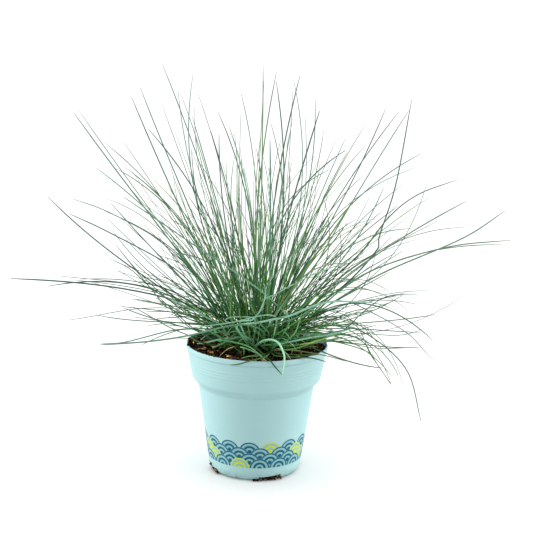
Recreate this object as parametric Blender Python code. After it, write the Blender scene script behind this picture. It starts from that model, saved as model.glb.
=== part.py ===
"""A clump of blue fescue grass growing in a 12 cm nursery pot.

Frame: +Z up, the origin at the centre of the pot's flat base, the viewer on the -Y side.
Every size below is in millimetres, and MM turns it into metres.
"""
from math import cos, hypot, radians, sin, sqrt, tau
from random import Random

import bmesh
import bpy
import numpy as np
from mathutils import Quaternion, Vector

MM = 0.001
GAP = 0.3                     # play between pieces that touch
SIDES = 40                    # facets of every turned piece

# Pot
POT_HEIGHT = 110.0
LIP_RADIUS = 60.0
LIP_HEIGHT = 4.4
COLLAR_FOOT_RADIUS = 54.7     # where the collar ends, above the step
COLLAR_FOOT_Z = 81.7
BODY_TOP_RADIUS = 49.3        # where the body starts, below the step
BODY_TOP_Z = 75.0
FOOT_RADIUS = 38.2            # the body's taper carried down to the floor
FOOT_ROUND = 2.8
WALL = 1.1
DRAIN_WIDTH = 19.0
DRAIN_HEIGHT = 3.4
DRAIN_DEPTH = 4.2
DRAIN_COUNT = 4
DRAIN_TURN = radians(-67.0)   # the first slot, a little right of the front

# Soil
SOIL_TOP = 103.6
SOIL_BUMP = 0.7

# Crown
CROWN_RADIUS = 27.0
CROWN_RISE = 8.0
CROWN_SINK = 2.0              # how far the crown sits down in the soil
CROWN_EDGE = 3.6              # height of the crown's side

# Tillers
SPOTS = 72                    # places for tillers on the crown, a few of them left bare
SPOT_RADIUS = 25.0            # the disc that they cover
GOLDEN_TURN = radians(137.5)
SHEATH_LENGTH = 13.0
SHEATH_RADIUS = 1.7
FORK_RADIUS = 1.5             # half the room that a leaf's first stretch takes
SHEATH_LEAN = 0.5             # how far a sheath turns from upright towards its leaves
LEAF_WIDTH = 1.8
LEAF_DEPTH = 1.1
LEAF_TIP = 0.22               # the tip's size, as a share of the base's
LEAF_STEPS = 6
LEAF_HOLD = (0.1, 0.5)        # how far a leaf keeps to its sheath's line before it bends
LEAVES = 3
TRIES = 500                   # a tiller that meets another is fanned out afresh, and its longest
STRAY = 0.1                   # leaf moved along the line of sight, by up to this much more each time

# The leaf routes are drawn as seen from here, on the upright plane through the pot's axis
EYE = Vector((0.0, -1150.0, 415.0))

# The longest leaf of each tiller: its tip's place across and up, the same at the middle of its
# length, and how far behind the pot's axis the tip lies (negative: towards the viewer)
LONGEST_LEAVES = (
    # left side, from the top down
    (-82, 342, -42, 236, 15),
    (-57, 334, -54, 235, -35),
    (-57, 300, -33, 219, 105),
    (-100, 323, -57, 221, 60),
    (-107, 315, -66, 223, -50),
    (-93, 289, -44, 220, -100),
    (-154, 301, -83, 207, 35),
    (-136, 256, -81, 209, -60),
    (-120, 256, -65, 212, 95),
    (-156, 230, -91, 204, 80),
    (-158, 217, -91, 187, -75),
    (-176, 231, -100, 168, 20),
    (-124, 227, -74, 173, -110),
    (-124, 206, -78, 158, 120),
    (-208, 161, -111, 154, 30),
    (-177, 155, -95, 156, -60),
    (-108, 146, -57, 138, 150),
    (-114, 138, -70, 124, -60),
    (-136, 131, -74, 126, 50),
    (-133, 106, -78, 118, -20),
    # middle, from left to right
    (-36, 304, -8, 217, -85),
    (-35, 286, -29, 215, -130),
    (-27, 293, -7, 219, 110),
    (-22, 268, -23, 211, 150),
    (0, 343, 1, 228, -30),
    (11, 338, -2, 228, 45),
    (11, 330, 19, 228, -70),
    (7, 297, 19, 220, 120),
    (7, 282, 9, 211, -145),
    (30, 335, 12, 233, 20),
    # right side, from the top down
    (43, 318, 35, 220, 75),
    (47, 307, 25, 224, -90),
    (69, 285, 42, 216, 115),
    (69, 275, 25, 229, -120),
    (101, 310, 62, 221, 40),
    (112, 308, 66, 238, -45),
    (122, 318, 97, 190, -20),
    (132, 274, 72, 226, 70),
    (102, 245, 68, 181, -115),
    (163, 253, 88, 192, 45),
    (171, 235, 93, 184, -55),
    (204, 228, 110, 176, 30),
    (210, 203, 106, 180, -30),
    (127, 211, 72, 192, 130),
    (127, 140, 77, 158, 95),
    (149, 115, 86, 146, -60),
    (150, 138, 78, 128, 60),
    (142, 43, 100, 115, -35),
    (107, 90, 56, 103, -68),
    # towards the viewer
    (-70, 185, -35, 172, -150),
    (0, 225, 0, 192, -150),
    (75, 180, 38, 168, -150),
    # away from the viewer
    (-75, 215, -38, 185, 150),
    (-20, 200, -8, 180, 170),
    (40, 195, 20, 178, 168),
    (88, 215, 45, 182, 142),
)


def material(name, colour, roughness):
    """A plain finish for one part."""
    finish = bpy.data.materials.new(name)
    finish.use_nodes = True
    shader = finish.node_tree.nodes["Principled BSDF"]
    shader.inputs["Base Color"].default_value = (*colour, 1.0)
    shader.inputs["Roughness"].default_value = roughness
    return finish


def add_object(name, mesh_builder, finish, sharp=40.0):
    """Turn a finished bmesh in millimetres into a named object in metres."""
    bmesh.ops.recalc_face_normals(mesh_builder, faces=mesh_builder.faces)
    bmesh.ops.scale(mesh_builder, vec=(MM, MM, MM), verts=mesh_builder.verts)
    mesh = bpy.data.meshes.new(name)
    mesh_builder.to_mesh(mesh)
    mesh_builder.free()
    mesh.shade_smooth()
    mesh.set_sharp_from_angle(angle=radians(sharp))
    mesh.materials.append(finish)
    piece = bpy.data.objects.new(name, mesh)
    bpy.context.collection.objects.link(piece)
    return piece


def turned(outline):
    """Turn an outline of (radius, height) points, from axis to axis, about the Z axis."""
    solid = bmesh.new()
    points = [solid.verts.new((radius, 0.0, height)) for radius, height in outline]
    lines = [solid.edges.new(pair) for pair in zip(points, points[1:])]
    bmesh.ops.spin(solid, geom=points + lines, axis=(0, 0, 1), cent=(0, 0, 0),
                   steps=SIDES, angle=tau, use_merge=True)
    bmesh.ops.remove_doubles(solid, verts=solid.verts, dist=0.001)
    return solid


def taper(low, high, height):
    """The radius at a height on the straight line between two (radius, height) points."""
    share = (height - low[1]) / (high[1] - low[1])
    return low[0] + share * (high[0] - low[0])


# ---------------------------------------------------------------- pot and soil

COLLAR_FOOT = (COLLAR_FOOT_RADIUS, COLLAR_FOOT_Z)
COLLAR_TOP = (LIP_RADIUS, POT_HEIGHT)
BODY_TOP = (BODY_TOP_RADIUS, BODY_TOP_Z)
FOOT = (FOOT_RADIUS, 0.0)


def step_points(inset):
    """The rounded step from the body out to the collar, moved inwards by inset."""
    rise = COLLAR_FOOT_Z - BODY_TOP_Z
    out = COLLAR_FOOT_RADIUS - BODY_TOP_RADIUS
    shares = ((0.0, 0.0), (0.16, 0.34), (0.62, 0.62), (0.92, 0.8), (1.0, 1.0))
    return [(BODY_TOP_RADIUS + out * across - inset, BODY_TOP_Z + rise * up + 0.3 * inset)
            for across, up in shares]


def pot_outline():
    lip_foot = POT_HEIGHT - LIP_HEIGHT
    collar_end = taper(COLLAR_FOOT, COLLAR_TOP, lip_foot)
    outside = [(0.0, 0.0), (FOOT_RADIUS - FOOT_ROUND, 0.0),
               (FOOT_RADIUS - 0.3 * FOOT_ROUND, 0.3 * FOOT_ROUND),
               (taper(FOOT, BODY_TOP, FOOT_ROUND), FOOT_ROUND)]
    outside += step_points(0.0)
    outside += [(collar_end, lip_foot), (LIP_RADIUS - 0.2, lip_foot + 0.4),
                (LIP_RADIUS, lip_foot + 1.4), (LIP_RADIUS, POT_HEIGHT - 1.0),
                (LIP_RADIUS - 0.5, POT_HEIGHT - 0.2), (LIP_RADIUS - 1.3, POT_HEIGHT)]
    return outside + inner_outline(WALL, WALL)


def inner_outline(inset, floor):
    """The inside of the pot, from the lip down to the middle of the base, inset from its outside."""
    mouth = taper(COLLAR_FOOT, COLLAR_TOP, POT_HEIGHT - 1.0)
    down_the_step = list(reversed(step_points(inset)))
    return [(mouth - inset, POT_HEIGHT - 1.0)] + down_the_step + [
        (taper(FOOT, BODY_TOP, FOOT_ROUND) - inset, FOOT_ROUND + 0.6),
        (FOOT_RADIUS - FOOT_ROUND - 0.6 - 0.4 * inset, floor), (0.0, floor)]


def drain_cutter():
    """Four blocks that cut the drain slots through the bottom corner."""
    blocks = bmesh.new()
    inner = FOOT_RADIUS - DRAIN_DEPTH
    middle = Vector((inner + DRAIN_DEPTH, 0.0, DRAIN_HEIGHT / 2 - 1.0))
    for number in range(DRAIN_COUNT):
        turn = DRAIN_TURN + number * tau / DRAIN_COUNT
        block = bmesh.ops.create_cube(blocks, size=1.0)["verts"]
        bmesh.ops.scale(blocks, verts=block, vec=(2 * DRAIN_DEPTH, DRAIN_WIDTH, DRAIN_HEIGHT + 2.0))
        bmesh.ops.translate(blocks, verts=block, vec=middle)
        for corner in block:
            x, y, z = corner.co
            corner.co = (x * cos(turn) - y * sin(turn), x * sin(turn) + y * cos(turn), z)
    return blocks


def make_pot(plastic):
    pot = add_object("pot", turned(pot_outline()), plastic)
    cutter = add_object("drain_cutter", drain_cutter(), plastic)
    cutter.hide_render = True
    cutter.display_type = 'WIRE'
    slots = pot.modifiers.new("drain slots", 'BOOLEAN')
    slots.operation = 'DIFFERENCE'
    slots.object = cutter


def make_soil(peat):
    """The root ball: it fills the pot, with a bumpy top and a round seat for the crown."""
    inset = WALL + GAP
    edge = taper(COLLAR_FOOT, COLLAR_TOP, SOIL_TOP) - inset
    seat = CROWN_RADIUS + GAP
    seat_z = SOIL_TOP - CROWN_SINK
    top = [(0.0, seat_z), (seat, seat_z), (seat, SOIL_TOP + 0.6)]
    top += [(seat + share * (edge - seat), SOIL_TOP) for share in (0.25, 0.5, 0.75, 1.0)]
    solid = turned(top + inner_outline(inset, WALL + GAP)[1:])
    dice = Random(4)
    for point in solid.verts:
        radius = hypot(point.co.x, point.co.y)
        if seat + 1.0 < radius < edge - 1.0 and point.co.z > SOIL_TOP - 0.1:
            point.co.z += dice.uniform(-SOIL_BUMP, 1.6 * SOIL_BUMP)
    add_object("potting_soil", solid, peat, sharp=25.0)


# ---------------------------------------------------------------- crown

CROWN_BASE_Z = SOIL_TOP - CROWN_SINK + GAP
CROWN_BALL = (CROWN_RADIUS ** 2 + CROWN_RISE ** 2) / (2 * CROWN_RISE)
CROWN_BALL_Z = CROWN_BASE_Z + CROWN_EDGE + CROWN_RISE - CROWN_BALL


def make_crown(husk):
    """The low dome that the tillers stand on."""
    outline = [(0.0, CROWN_BASE_Z), (CROWN_RADIUS - 0.6, CROWN_BASE_Z), (CROWN_RADIUS, CROWN_BASE_Z + 0.6)]
    for share in (1.0, 0.75, 0.5, 0.25, 0.0):
        radius = CROWN_RADIUS * share
        outline.append((radius, CROWN_BALL_Z + sqrt(CROWN_BALL ** 2 - radius ** 2)))
    add_object("crown", turned(outline), husk)


# ---------------------------------------------------------------- tillers

def seen_at(across, up, depth):
    """The point at this depth that looks, from the eye, as if it were at (across, up) on the axis."""
    on_plane = Vector((across, 0.0, up))
    return EYE + (on_plane - EYE) * ((depth - EYE.y) / -EYE.y)


def standing_spots():
    """Places for tillers to stand, spread evenly over the crown."""
    spots = []
    for number in range(SPOTS):
        radius = SPOT_RADIUS * sqrt((number + 0.5) / SPOTS)
        turn = number * GOLDEN_TURN
        spots.append(Vector((radius * cos(turn), radius * sin(turn))))
    return spots


def bend_peak(start, bow, tip):
    """The corner of the smooth bend that runs from start through bow to tip."""
    near = (bow - start).length
    share = near / (near + (tip - bow).length)
    rest = 1.0 - share
    return (bow - start * rest ** 2 - tip * share ** 2) / (2 * share * rest)


def along_bend(controls, share):
    """The point at a share of the way along a cubic bend."""
    start, first, second, tip = controls
    rest = 1.0 - share
    return (start * rest ** 3 + first * (3 * rest * rest * share)
            + second * (3 * rest * share * share) + tip * share ** 3)


def tiller_routes(spot, row, stray, dice):
    """The sheath's two ends, and for each leaf its sector direction and its points."""
    across, up, bow_across, bow_up, depth = row
    depth += dice.uniform(-stray, stray)
    bow_across += dice.uniform(-0.2, 0.2) * stray
    tip = seen_at(across, up, depth)
    bow = seen_at(bow_across, bow_up, (depth + spot.y) / 2)

    foot = Vector((spot.x, spot.y, CROWN_BALL_Z + sqrt(CROWN_BALL ** 2 - spot.length_squared)))
    normal = (foot - Vector((0.0, 0.0, CROWN_BALL_Z))).normalized()
    heading = (normal + SHEATH_LEAN * (bend_peak(foot, bow, tip) - foot).normalized()).normalized()
    foot += normal * (GAP + SHEATH_RADIUS * sin(normal.angle(heading)) + 0.1)
    neck = foot + heading * SHEATH_LENGTH

    peak = bend_peak(neck, bow, tip)
    reach = (peak - neck) * 2 / 3
    first = neck + reach.lerp(heading * reach.length, dice.uniform(*LEAF_HOLD))
    controls = (neck, first, tip + (peak - tip) * 2 / 3, tip)

    outwards = tip - neck
    outwards = (outwards - heading * outwards.dot(heading)).normalized()
    outwards.rotate(Quaternion(heading, radians(dice.uniform(-1.5, 1.5) * stray)))
    sideways = heading.cross(outwards)
    spread = dice.uniform(9.0, 18.0)
    lengths = (1.0, dice.uniform(0.74, 0.93), dice.uniform(0.55, 0.78))
    leaves = []
    for number, length in enumerate(lengths):
        turn = number * tau / LEAVES
        sector = outwards * cos(turn) + sideways * sin(turn)
        points = []
        for step in range(1, LEAF_STEPS + 1):
            share = length * step / LEAF_STEPS
            points.append(along_bend(controls, share) + (sector - outwards) * (spread * share / length))
        leaves.append((sector, points))
    return foot, neck, leaves


def leaf_size(step):
    """A leaf's thickness at a step, as a share of the thickness at its base."""
    return LEAF_TIP + (1.0 - LEAF_TIP) * (1.0 - (step / LEAF_STEPS) ** 1.8)


def segments(foot, neck, leaves):
    """Every straight stretch of a tiller as start, end and radius."""
    found = [(*foot, *neck, SHEATH_RADIUS)]
    for _, points in leaves:
        line = [neck] + points
        for step, (start, end) in enumerate(zip(line, line[1:])):
            radius = 0.6 * LEAF_WIDTH * leaf_size(step) if step else FORK_RADIUS
            found.append((*start, *end, radius))
    return np.array(found)


def gaps(ours, others):
    """The free space between every stretch of ours and every stretch of others."""
    start, other_start = ours[:, None, 0:3], others[None, :, 0:3]
    run = ours[:, None, 3:6] - start
    other_run = others[None, :, 3:6] - other_start
    between = start - other_start
    run_run = (run * run).sum(-1)
    run_other = (run * other_run).sum(-1)
    other_other = (other_run * other_run).sum(-1)
    run_between = (run * between).sum(-1)
    other_between = (other_run * between).sum(-1)
    parallel = np.maximum(run_run * other_other - run_other ** 2, 1e-9)
    along = np.clip((run_other * other_between - other_other * run_between) / parallel, 0, 1)
    other_along = np.clip((run_other * along + other_between) / other_other, 0, 1)
    along = np.clip((run_other * other_along - run_between) / run_run, 0, 1)
    apart = between + along[..., None] * run - other_along[..., None] * other_run
    return np.sqrt((apart ** 2).sum(-1)) - ours[:, None, 6] - others[None, :, 6]


def clears_pot(leaves):
    """Whether every leaf passes over the soil and the lip."""
    for _, points in leaves:
        for start, end in zip(points, points[1:]):
            for share in (0.0, 0.2, 0.4, 0.6, 0.8, 1.0):
                place = start.lerp(end, share)
                radius = hypot(place.x, place.y)
                over_lip = LIP_RADIUS - 4.0 < radius < LIP_RADIUS + 1.5
                low = POT_HEIGHT if over_lip else SOIL_TOP + 1.5
                if radius < LIP_RADIUS + 1.5 and place.z < low + 0.8 * LEAF_WIDTH:
                    return False
    return True


def place_tillers():
    """The routes of all tillers. Those that lean far stand at the crown's edge, on their own side,
    and each is tried afresh until it touches no other."""
    tips = [seen_at(row[0], row[1], row[4]) for row in LONGEST_LEAVES]
    lean = [hypot(tip.x, tip.y) / max(tip.z - SOIL_TOP, 1.0) for tip in tips]
    count = len(tips)
    placed = [None] * count
    free = standing_spots()
    taken = np.zeros((0, 7))
    for rank, number in enumerate(sorted(range(count), key=lambda each: lean[each])):
        wanted = tips[number].xy.normalized() * SPOT_RADIUS * sqrt((rank + 0.5) / count)
        near = sorted(free, key=lambda spot: (spot - wanted).length)
        for attempt in range(TRIES):
            dice = Random(number * TRIES + attempt)
            spot = near[dice.randrange(1 + min(attempt // 10, 5, len(near) - 1))]
            routes = tiller_routes(spot, LONGEST_LEAVES[number], STRAY * attempt, dice)
            ours = segments(*routes)
            clear = not len(taken) or gaps(ours, taken).min() > GAP
            if clear and clears_pot(routes[2]):
                break
        free.remove(spot)
        taken = np.concatenate((taken, ours))
        placed[number] = routes
    return placed


def grow_leaf(solid, face, hub, sector, points):
    """Extrude one third of the sheath's top along its leaf, with the ridge corner kept inside."""
    neck = face.calc_center_median()
    line = [neck] + points
    outwards = sector
    for step in range(1, LEAF_STEPS + 1):
        ahead = line[min(step + 1, LEAF_STEPS)] - line[step - 1]
        ahead.normalize()
        outwards = (outwards - ahead * outwards.dot(ahead)).normalized()
        sideways = ahead.cross(outwards)
        size = leaf_size(step)
        corners = list(face.verts)
        ridge = corners.index(hub)
        face = bmesh.ops.extrude_discrete_faces(solid, faces=[face])["faces"][0]
        corners = list(face.verts)
        hub = corners[ridge]
        left = corners[(ridge + 2) % 3]
        right = corners[(ridge + 1) % 3]
        hub.co = line[step] - outwards * (0.5 * LEAF_DEPTH * size)
        left.co = line[step] + outwards * (0.5 * LEAF_DEPTH * size) + sideways * (0.5 * LEAF_WIDTH * size)
        right.co = line[step] + outwards * (0.5 * LEAF_DEPTH * size) - sideways * (0.5 * LEAF_WIDTH * size)


def make_tiller(name, foot, neck, leaves, green):
    """One shoot: a three-sided sheath whose top forks into three keeled leaves."""
    solid = bmesh.new()
    heading = (neck - foot).normalized()
    outwards = leaves[0][0]
    sideways = heading.cross(outwards)
    corners = []
    for number in range(LEAVES):
        turn = (number - 0.5) * tau / LEAVES
        corners.append((outwards * cos(turn) + sideways * sin(turn)) * SHEATH_RADIUS)
    low = [solid.verts.new(foot + corner) for corner in corners]
    high = [solid.verts.new(neck + corner) for corner in corners]
    solid.faces.new(reversed(low))
    top = solid.faces.new(high)
    for number in range(LEAVES):
        after = (number + 1) % LEAVES
        solid.faces.new((low[number], low[after], high[after], high[number]))
    forks = bmesh.ops.poke(solid, faces=[top])
    hub = forks["verts"][0]
    for face in forks["faces"]:
        middle = face.calc_center_median() - neck
        sector, points = max(leaves, key=lambda leaf: leaf[0].dot(middle))
        grow_leaf(solid, face, hub, sector, points)
    add_object(name, solid, green)


def main():
    for leftover in list(bpy.data.objects):
        bpy.data.objects.remove(leftover)
    make_pot(material("aqua plastic", (0.50, 0.76, 0.76), 0.5))
    make_soil(material("peat and bark", (0.035, 0.022, 0.014), 0.95))
    make_crown(material("old sheaths", (0.20, 0.17, 0.08), 0.9))
    leaf_green = material("blue-green leaf", (0.16, 0.30, 0.22), 0.55)
    for number, (foot, neck, leaves) in enumerate(place_tillers(), start=1):
        make_tiller(f"tiller_{number:02d}", foot, neck, leaves, leaf_green)


main()
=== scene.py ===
"""The looks of a clump of blue fescue grass in a 12 cm nursery pot.

Every size below is in millimetres, in the part's own frame, and MM turns it into metres. The leaf
routes and the rules that place the tillers are the same as in the part's own source, so each
tiller's fine leaves grow where its plain solid stands.
"""
from math import atan2, cos, hypot, pi, radians, sin, sqrt, tau
from random import Random

import bmesh
import bpy
import numpy as np
from mathutils import Euler, Matrix, Quaternion, Vector, noise


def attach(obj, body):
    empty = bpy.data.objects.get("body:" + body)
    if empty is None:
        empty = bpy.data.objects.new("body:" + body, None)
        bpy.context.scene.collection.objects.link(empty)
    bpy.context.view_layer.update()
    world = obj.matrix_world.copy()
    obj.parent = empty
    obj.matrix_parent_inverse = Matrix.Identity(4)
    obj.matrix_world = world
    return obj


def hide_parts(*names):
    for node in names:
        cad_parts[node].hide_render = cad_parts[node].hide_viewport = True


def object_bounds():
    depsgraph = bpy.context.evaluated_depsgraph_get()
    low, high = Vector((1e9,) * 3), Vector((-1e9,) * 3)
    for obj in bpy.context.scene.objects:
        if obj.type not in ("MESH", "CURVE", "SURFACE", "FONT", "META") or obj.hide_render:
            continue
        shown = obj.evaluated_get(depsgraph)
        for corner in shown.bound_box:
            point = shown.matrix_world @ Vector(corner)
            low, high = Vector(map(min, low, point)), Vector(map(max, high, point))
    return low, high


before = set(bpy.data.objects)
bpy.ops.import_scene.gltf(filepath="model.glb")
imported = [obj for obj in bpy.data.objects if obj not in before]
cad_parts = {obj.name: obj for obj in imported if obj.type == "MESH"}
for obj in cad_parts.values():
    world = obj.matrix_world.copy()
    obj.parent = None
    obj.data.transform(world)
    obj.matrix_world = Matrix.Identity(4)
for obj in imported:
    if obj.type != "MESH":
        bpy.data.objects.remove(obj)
cad_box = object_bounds()

MM = 0.001
GAP = 0.3                     # free space between neighbouring pieces

# Pot
POT_HEIGHT = 110.0
LIP_RADIUS = 60.0
LIP_HEIGHT = 4.4
COLLAR_FOOT_RADIUS = 54.7
COLLAR_FOOT_Z = 81.7
BODY_TOP_RADIUS = 49.3
BODY_TOP_Z = 75.0
FOOT_RADIUS = 38.2
FOOT_TUCK = 5.0               # how far the foot rounds in, and how high up it starts
FOOT_TUCK_Z = 10.0
WALL = 0.9
CAD_WALL = 1.1
DRAIN_WIDTH = 19.0
DRAIN_HEIGHT = 4.2
DRAIN_DEPTH = 4.2
DRAIN_COUNT = 4
DRAIN_TURN = radians(-69.0)
DRAIN_SLOPE = 0.08            # how a slot's upper edge climbs from one end to the other
POT_SIDES = 128
RIDGES = (92.0, 94.6, 97.2)   # heights of the fine moulded rings on the collar
RIDGE_SIZE = 0.22
LIP_GROOVE = 0.35             # how deep the groove under the lip is

# Printed band
BAND_FOOT = 12.3
SCALLOPS = 15                 # scallops in one row around the pot
SCALLOP_ROWS = 4
SCALLOP_RADIUS = 8.6
SCALLOP_RISE = 5.0            # from one row to the next
SCALLOP_PITCH = tau * (FOOT_RADIUS + 3.0) / SCALLOPS
LIME_EVERY = 5                # one scallop in so many is lime
BLUE_INK = (0.0, 0.085, 0.130)
LIME_INK = (0.42, 0.50, 0.01)
THIN_INK = (0.01, 0.19, 0.26)

# Soil and crown
SOIL_TOP = 103.6
CROWN_RADIUS = 27.0
CROWN_RISE = 8.0
CROWN_SINK = 2.0
CROWN_EDGE = 3.6
CROWN_BASE_Z = SOIL_TOP - CROWN_SINK + GAP
CROWN_BALL = (CROWN_RADIUS ** 2 + CROWN_RISE ** 2) / (2 * CROWN_RISE)
CROWN_BALL_Z = CROWN_BASE_Z + CROWN_EDGE + CROWN_RISE - CROWN_BALL
DOME_SINK = 1.2               # how far the earthy dome lies inside the crown's own shape
HEAP_FROM = 38.0              # where the soil starts to climb towards the wall,
HEAP_WIDTH = 20.0             # over which distance,
HEAP = 1.2                    # and how high, with more at the left and the right
LEFT_HEAP = 3.8
RIGHT_HEAP = 3.2
LEFT_TURN = radians(176.0)
RIGHT_TURN = radians(-14.0)
CRUMBS = 1250
BARK_CHIPS = 330
WOOD_BITS = 26
LIP_CRUMBS = 16               # crumbs that lie on the lip, at the left
WALL_CRUMBS = 110             # crumbs that stick to the inside of the wall, at the left
DRAIN_CRUMBS = 520            # crumbs in and under the drain slots
DRAIN_BARK = 60
STUCK_CRUMBS = 16             # crumbs that stick to the foot over the left slot
FIBRES = 26
OLD_SHEATHS = 420
SHEATH_SEED = 31
FIBRE_SEED = 77
LUMP_SEEDS = {"soil_crumbs": 5, "bark_chips": 8, "wood_bits": 3, "wood_lumps": 4, "lip_crumbs": 6,
              "wall_crumbs": 7, "drain_crumbs": 12, "drain_bark": 13, "stuck_soil": 14}
WOOD_LUMPS = ((-45.0, 18.0, 1.8), (-40.0, -12.0, 1.9),
              (-22.0, -43.0, 1.0), (-25.0, -42.0, 0.9))    # x, y and size

# Tillers, as in the part's source
SPOTS = 72
SPOT_RADIUS = 25.0
GOLDEN_TURN = radians(137.5)
SHEATH_LENGTH = 13.0
SHEATH_RADIUS = 1.7
FORK_RADIUS = 1.5
SHEATH_LEAN = 0.5
LEAF_WIDTH = 1.8
LEAF_TIP = 0.22
LEAF_STEPS = 6
LEAF_HOLD = (0.1, 0.5)
LEAVES = 3
TRIES = 500
STRAY = 0.1

# Fine leaves
STATIONS = 26                 # cross-sections along one fine leaf
TRIES_PER_LEAF = 14
LEAF_ROOM = 0.9               # how far a fine leaf stays above the soil and the lip,
BUMP_ROOM = 1.0               # and how much further above the soil, for its bumps
ON_SOIL = 1.6                 # how far above the level soil the leaves of the front lie, at least
RIM_BAND = 6.0                # how far inside the lip's edge a leaf counts as past the rim,
HANG_ROOM = 4.0               # and less than how far above the lip it counts as hanging
FRONT_LINE = -12.0            # leaves past the rim in front of this y would cover the pot
ROOT_SPREAD = 0.3             # how far from the tiller's axis a leaf starts,
THROAT_SPREAD = 0.45          # and how far from it the leaf leaves the sleeve
SLEEVE_STEPS = 6
SLEEVE_REACH = 1.12           # where a sleeve ends, as a share of the way to the neck
SLEEVE_TAPER = 0.11           # how much thinner it gets with each step
ROOT_WIDTH = 0.8              # a leaf's width at its root, as a share of its full width
TAPER = 0.22                  # how much of its width it loses between its middle and its tip,
POINT = 0.40                  # how much more in the point at its end,
POINT_FROM = 0.88             # and where that point starts
WAVER = 1.6                   # the most that a leaf wavers sideways at its tip
SIDE_WAVER = 4.0
SKIRT_WAVER = 3.0
BOW_OUT = (3.0, 7.0)          # how far a leaf bows out of its bundle in its middle
TWIST = 1.2                   # the most that a leaf turns about itself, in radians
FRONT_TWIST = 0.8
WRAPPED = 9                   # cross-sections of a forked leaf that are still wrapped in another
WRAPPED_HALF_WIDTH = 0.54     # and their half width
MORE_PER_TILLER = 4           # fine leaves beside the three that the solid has
FORKS_PER_TILLER = 2
LOW_SLOPE = 0.85              # a tiller whose longest leaf rises less than this has fewer leaves:
LOW_MORE = 1
LOW_FORKS = 1
LOW_SKIRT = 1
SKIRT_PER_TILLER = 2          # low leaves of a tiller that stands towards the crown's edge
SKIRT_FROM = 13.0
SIDE_SMALLEST = 0.22          # a shorter leaf's size as a share of its tiller's, at least,
SIDE_SPREAD = 0.56            # and how much more it may be
SIDE_TILTS = (16.0, 33.0)     # by how many degrees a shorter leaf strays: most of them, and the rest
SIDE_CLOSE = 0.6              # the share that strays less
SIDE_DROOP = 14.0
FORK_AT = (0.10, 0.46)        # where a fork parts from the longest leaf, as a share of its way up
FORK_LENGTH = (0.10, 0.36)    # as a share of that leaf's span
FORK_TURN = (4.0, 15.0)       # degrees that it turns off at once,
FORK_BEND = (-6.0, 22.0)      # and along its way
SKIRT_NEAR = (14.0, 27.0)     # lengths of the low leaves towards the viewer, and elsewhere
SKIRT_FAR = (30.0, 88.0)
SKIRT_STRAY = 32.0            # by how many degrees they stray from the tiller's own side
SKIRT_SLOPES = (10.0, 46.0)   # how steeply those that rise end, in degrees
RISING_LEFT = 0.75            # the share of them that rises: at the left and the back,
RISING_RIGHT = 0.2            # and at the right
FRONT_SECTOR = radians(74.0)
BLADE_HALF_WIDTH = (0.26, 0.44)
LOW_HALF_WIDTH = (0.37, 0.52)
SKIRT_HALF_WIDTH = (0.38, 0.54)
MORE_HALF_WIDTH = (0.44, 0.60)
LONGEST_HALF_WIDTH = (0.54, 0.72)
WIDEST = {1: 0.70, 4: 0.70, 7: 0.74, 12: 0.78, 15: 0.86, 16: 0.64, 17: 0.64, 18: 0.70, 19: 0.72,
          20: 0.64, 37: 0.72, 42: 0.80, 43: 0.78, 48: 0.74}    # the longest leaf's, by tiller
CLOSE_LEAVES = (15, 16)       # tillers whose leaves keep close together,
CLOSE_DRIFT = 0.3             # with this share of their drift
DARK_TONES = (0.0, 0.85)      # tones go from dark to light, and hues from mint over teal to lime
PALE_TONES = (0.48, 1.0)
LONGEST_TONES = (0.25, 0.8)
MORE_TONES = (0.3, 0.85)
HUES = (0.09, 0.91)
LONGEST_HUES = (0.15, 0.6)
TEAL_HUES = (0.04, 0.40)
DRY_SHARE = 0.02              # how many leaves are partly dry,
DRYNESS = (0.15, 0.45)        # and how dry those are
TILLER_SEED = 900             # the first tiller's, and each next one has the next number
# A leaf darkens towards its root and towards the crown: partly its own greener base, partly painted shade of
# the crowded clump. Skirt and front leaves start further along, so their bases get less painted shade.
COLOUR_REACH = 200.0          # the distance from the root over which a leaf's colour changes
CLEAR_FACTOR = 2.2            # how much faster it changes clear of the crown, where the painted shade of the crowded core fades
SKIRT_START = 32.0            # where along that distance a skirt leaf's colour starts
FRONT_START = 26.0            # and a front leaf's

# By tiller: points that its longest leaf passes between its middle and its tip
UPPER_BOWS = {10: ((-125, 219),), 11: ((-127, 203),), 20: ((-112, 108),), 42: ((170, 204),),
              43: ((158, 196),), 48: ((128, 88),), 37: ((100, 204), (112, 248)),
              40: ((108, 221), (131, 240))}

EYE = Vector((0.0, -1150.0, 415.0))                # from where the leaves were laid out
CAMERA_PLACE = (0.0, -1.150, 0.4147)               # in metres, as the camera and the lamps are
LENS = 94.67
TIP_DOWN, TURN, ROLL = 0.2046, 0.0056, 0.0228      # the camera's, in radians

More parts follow.
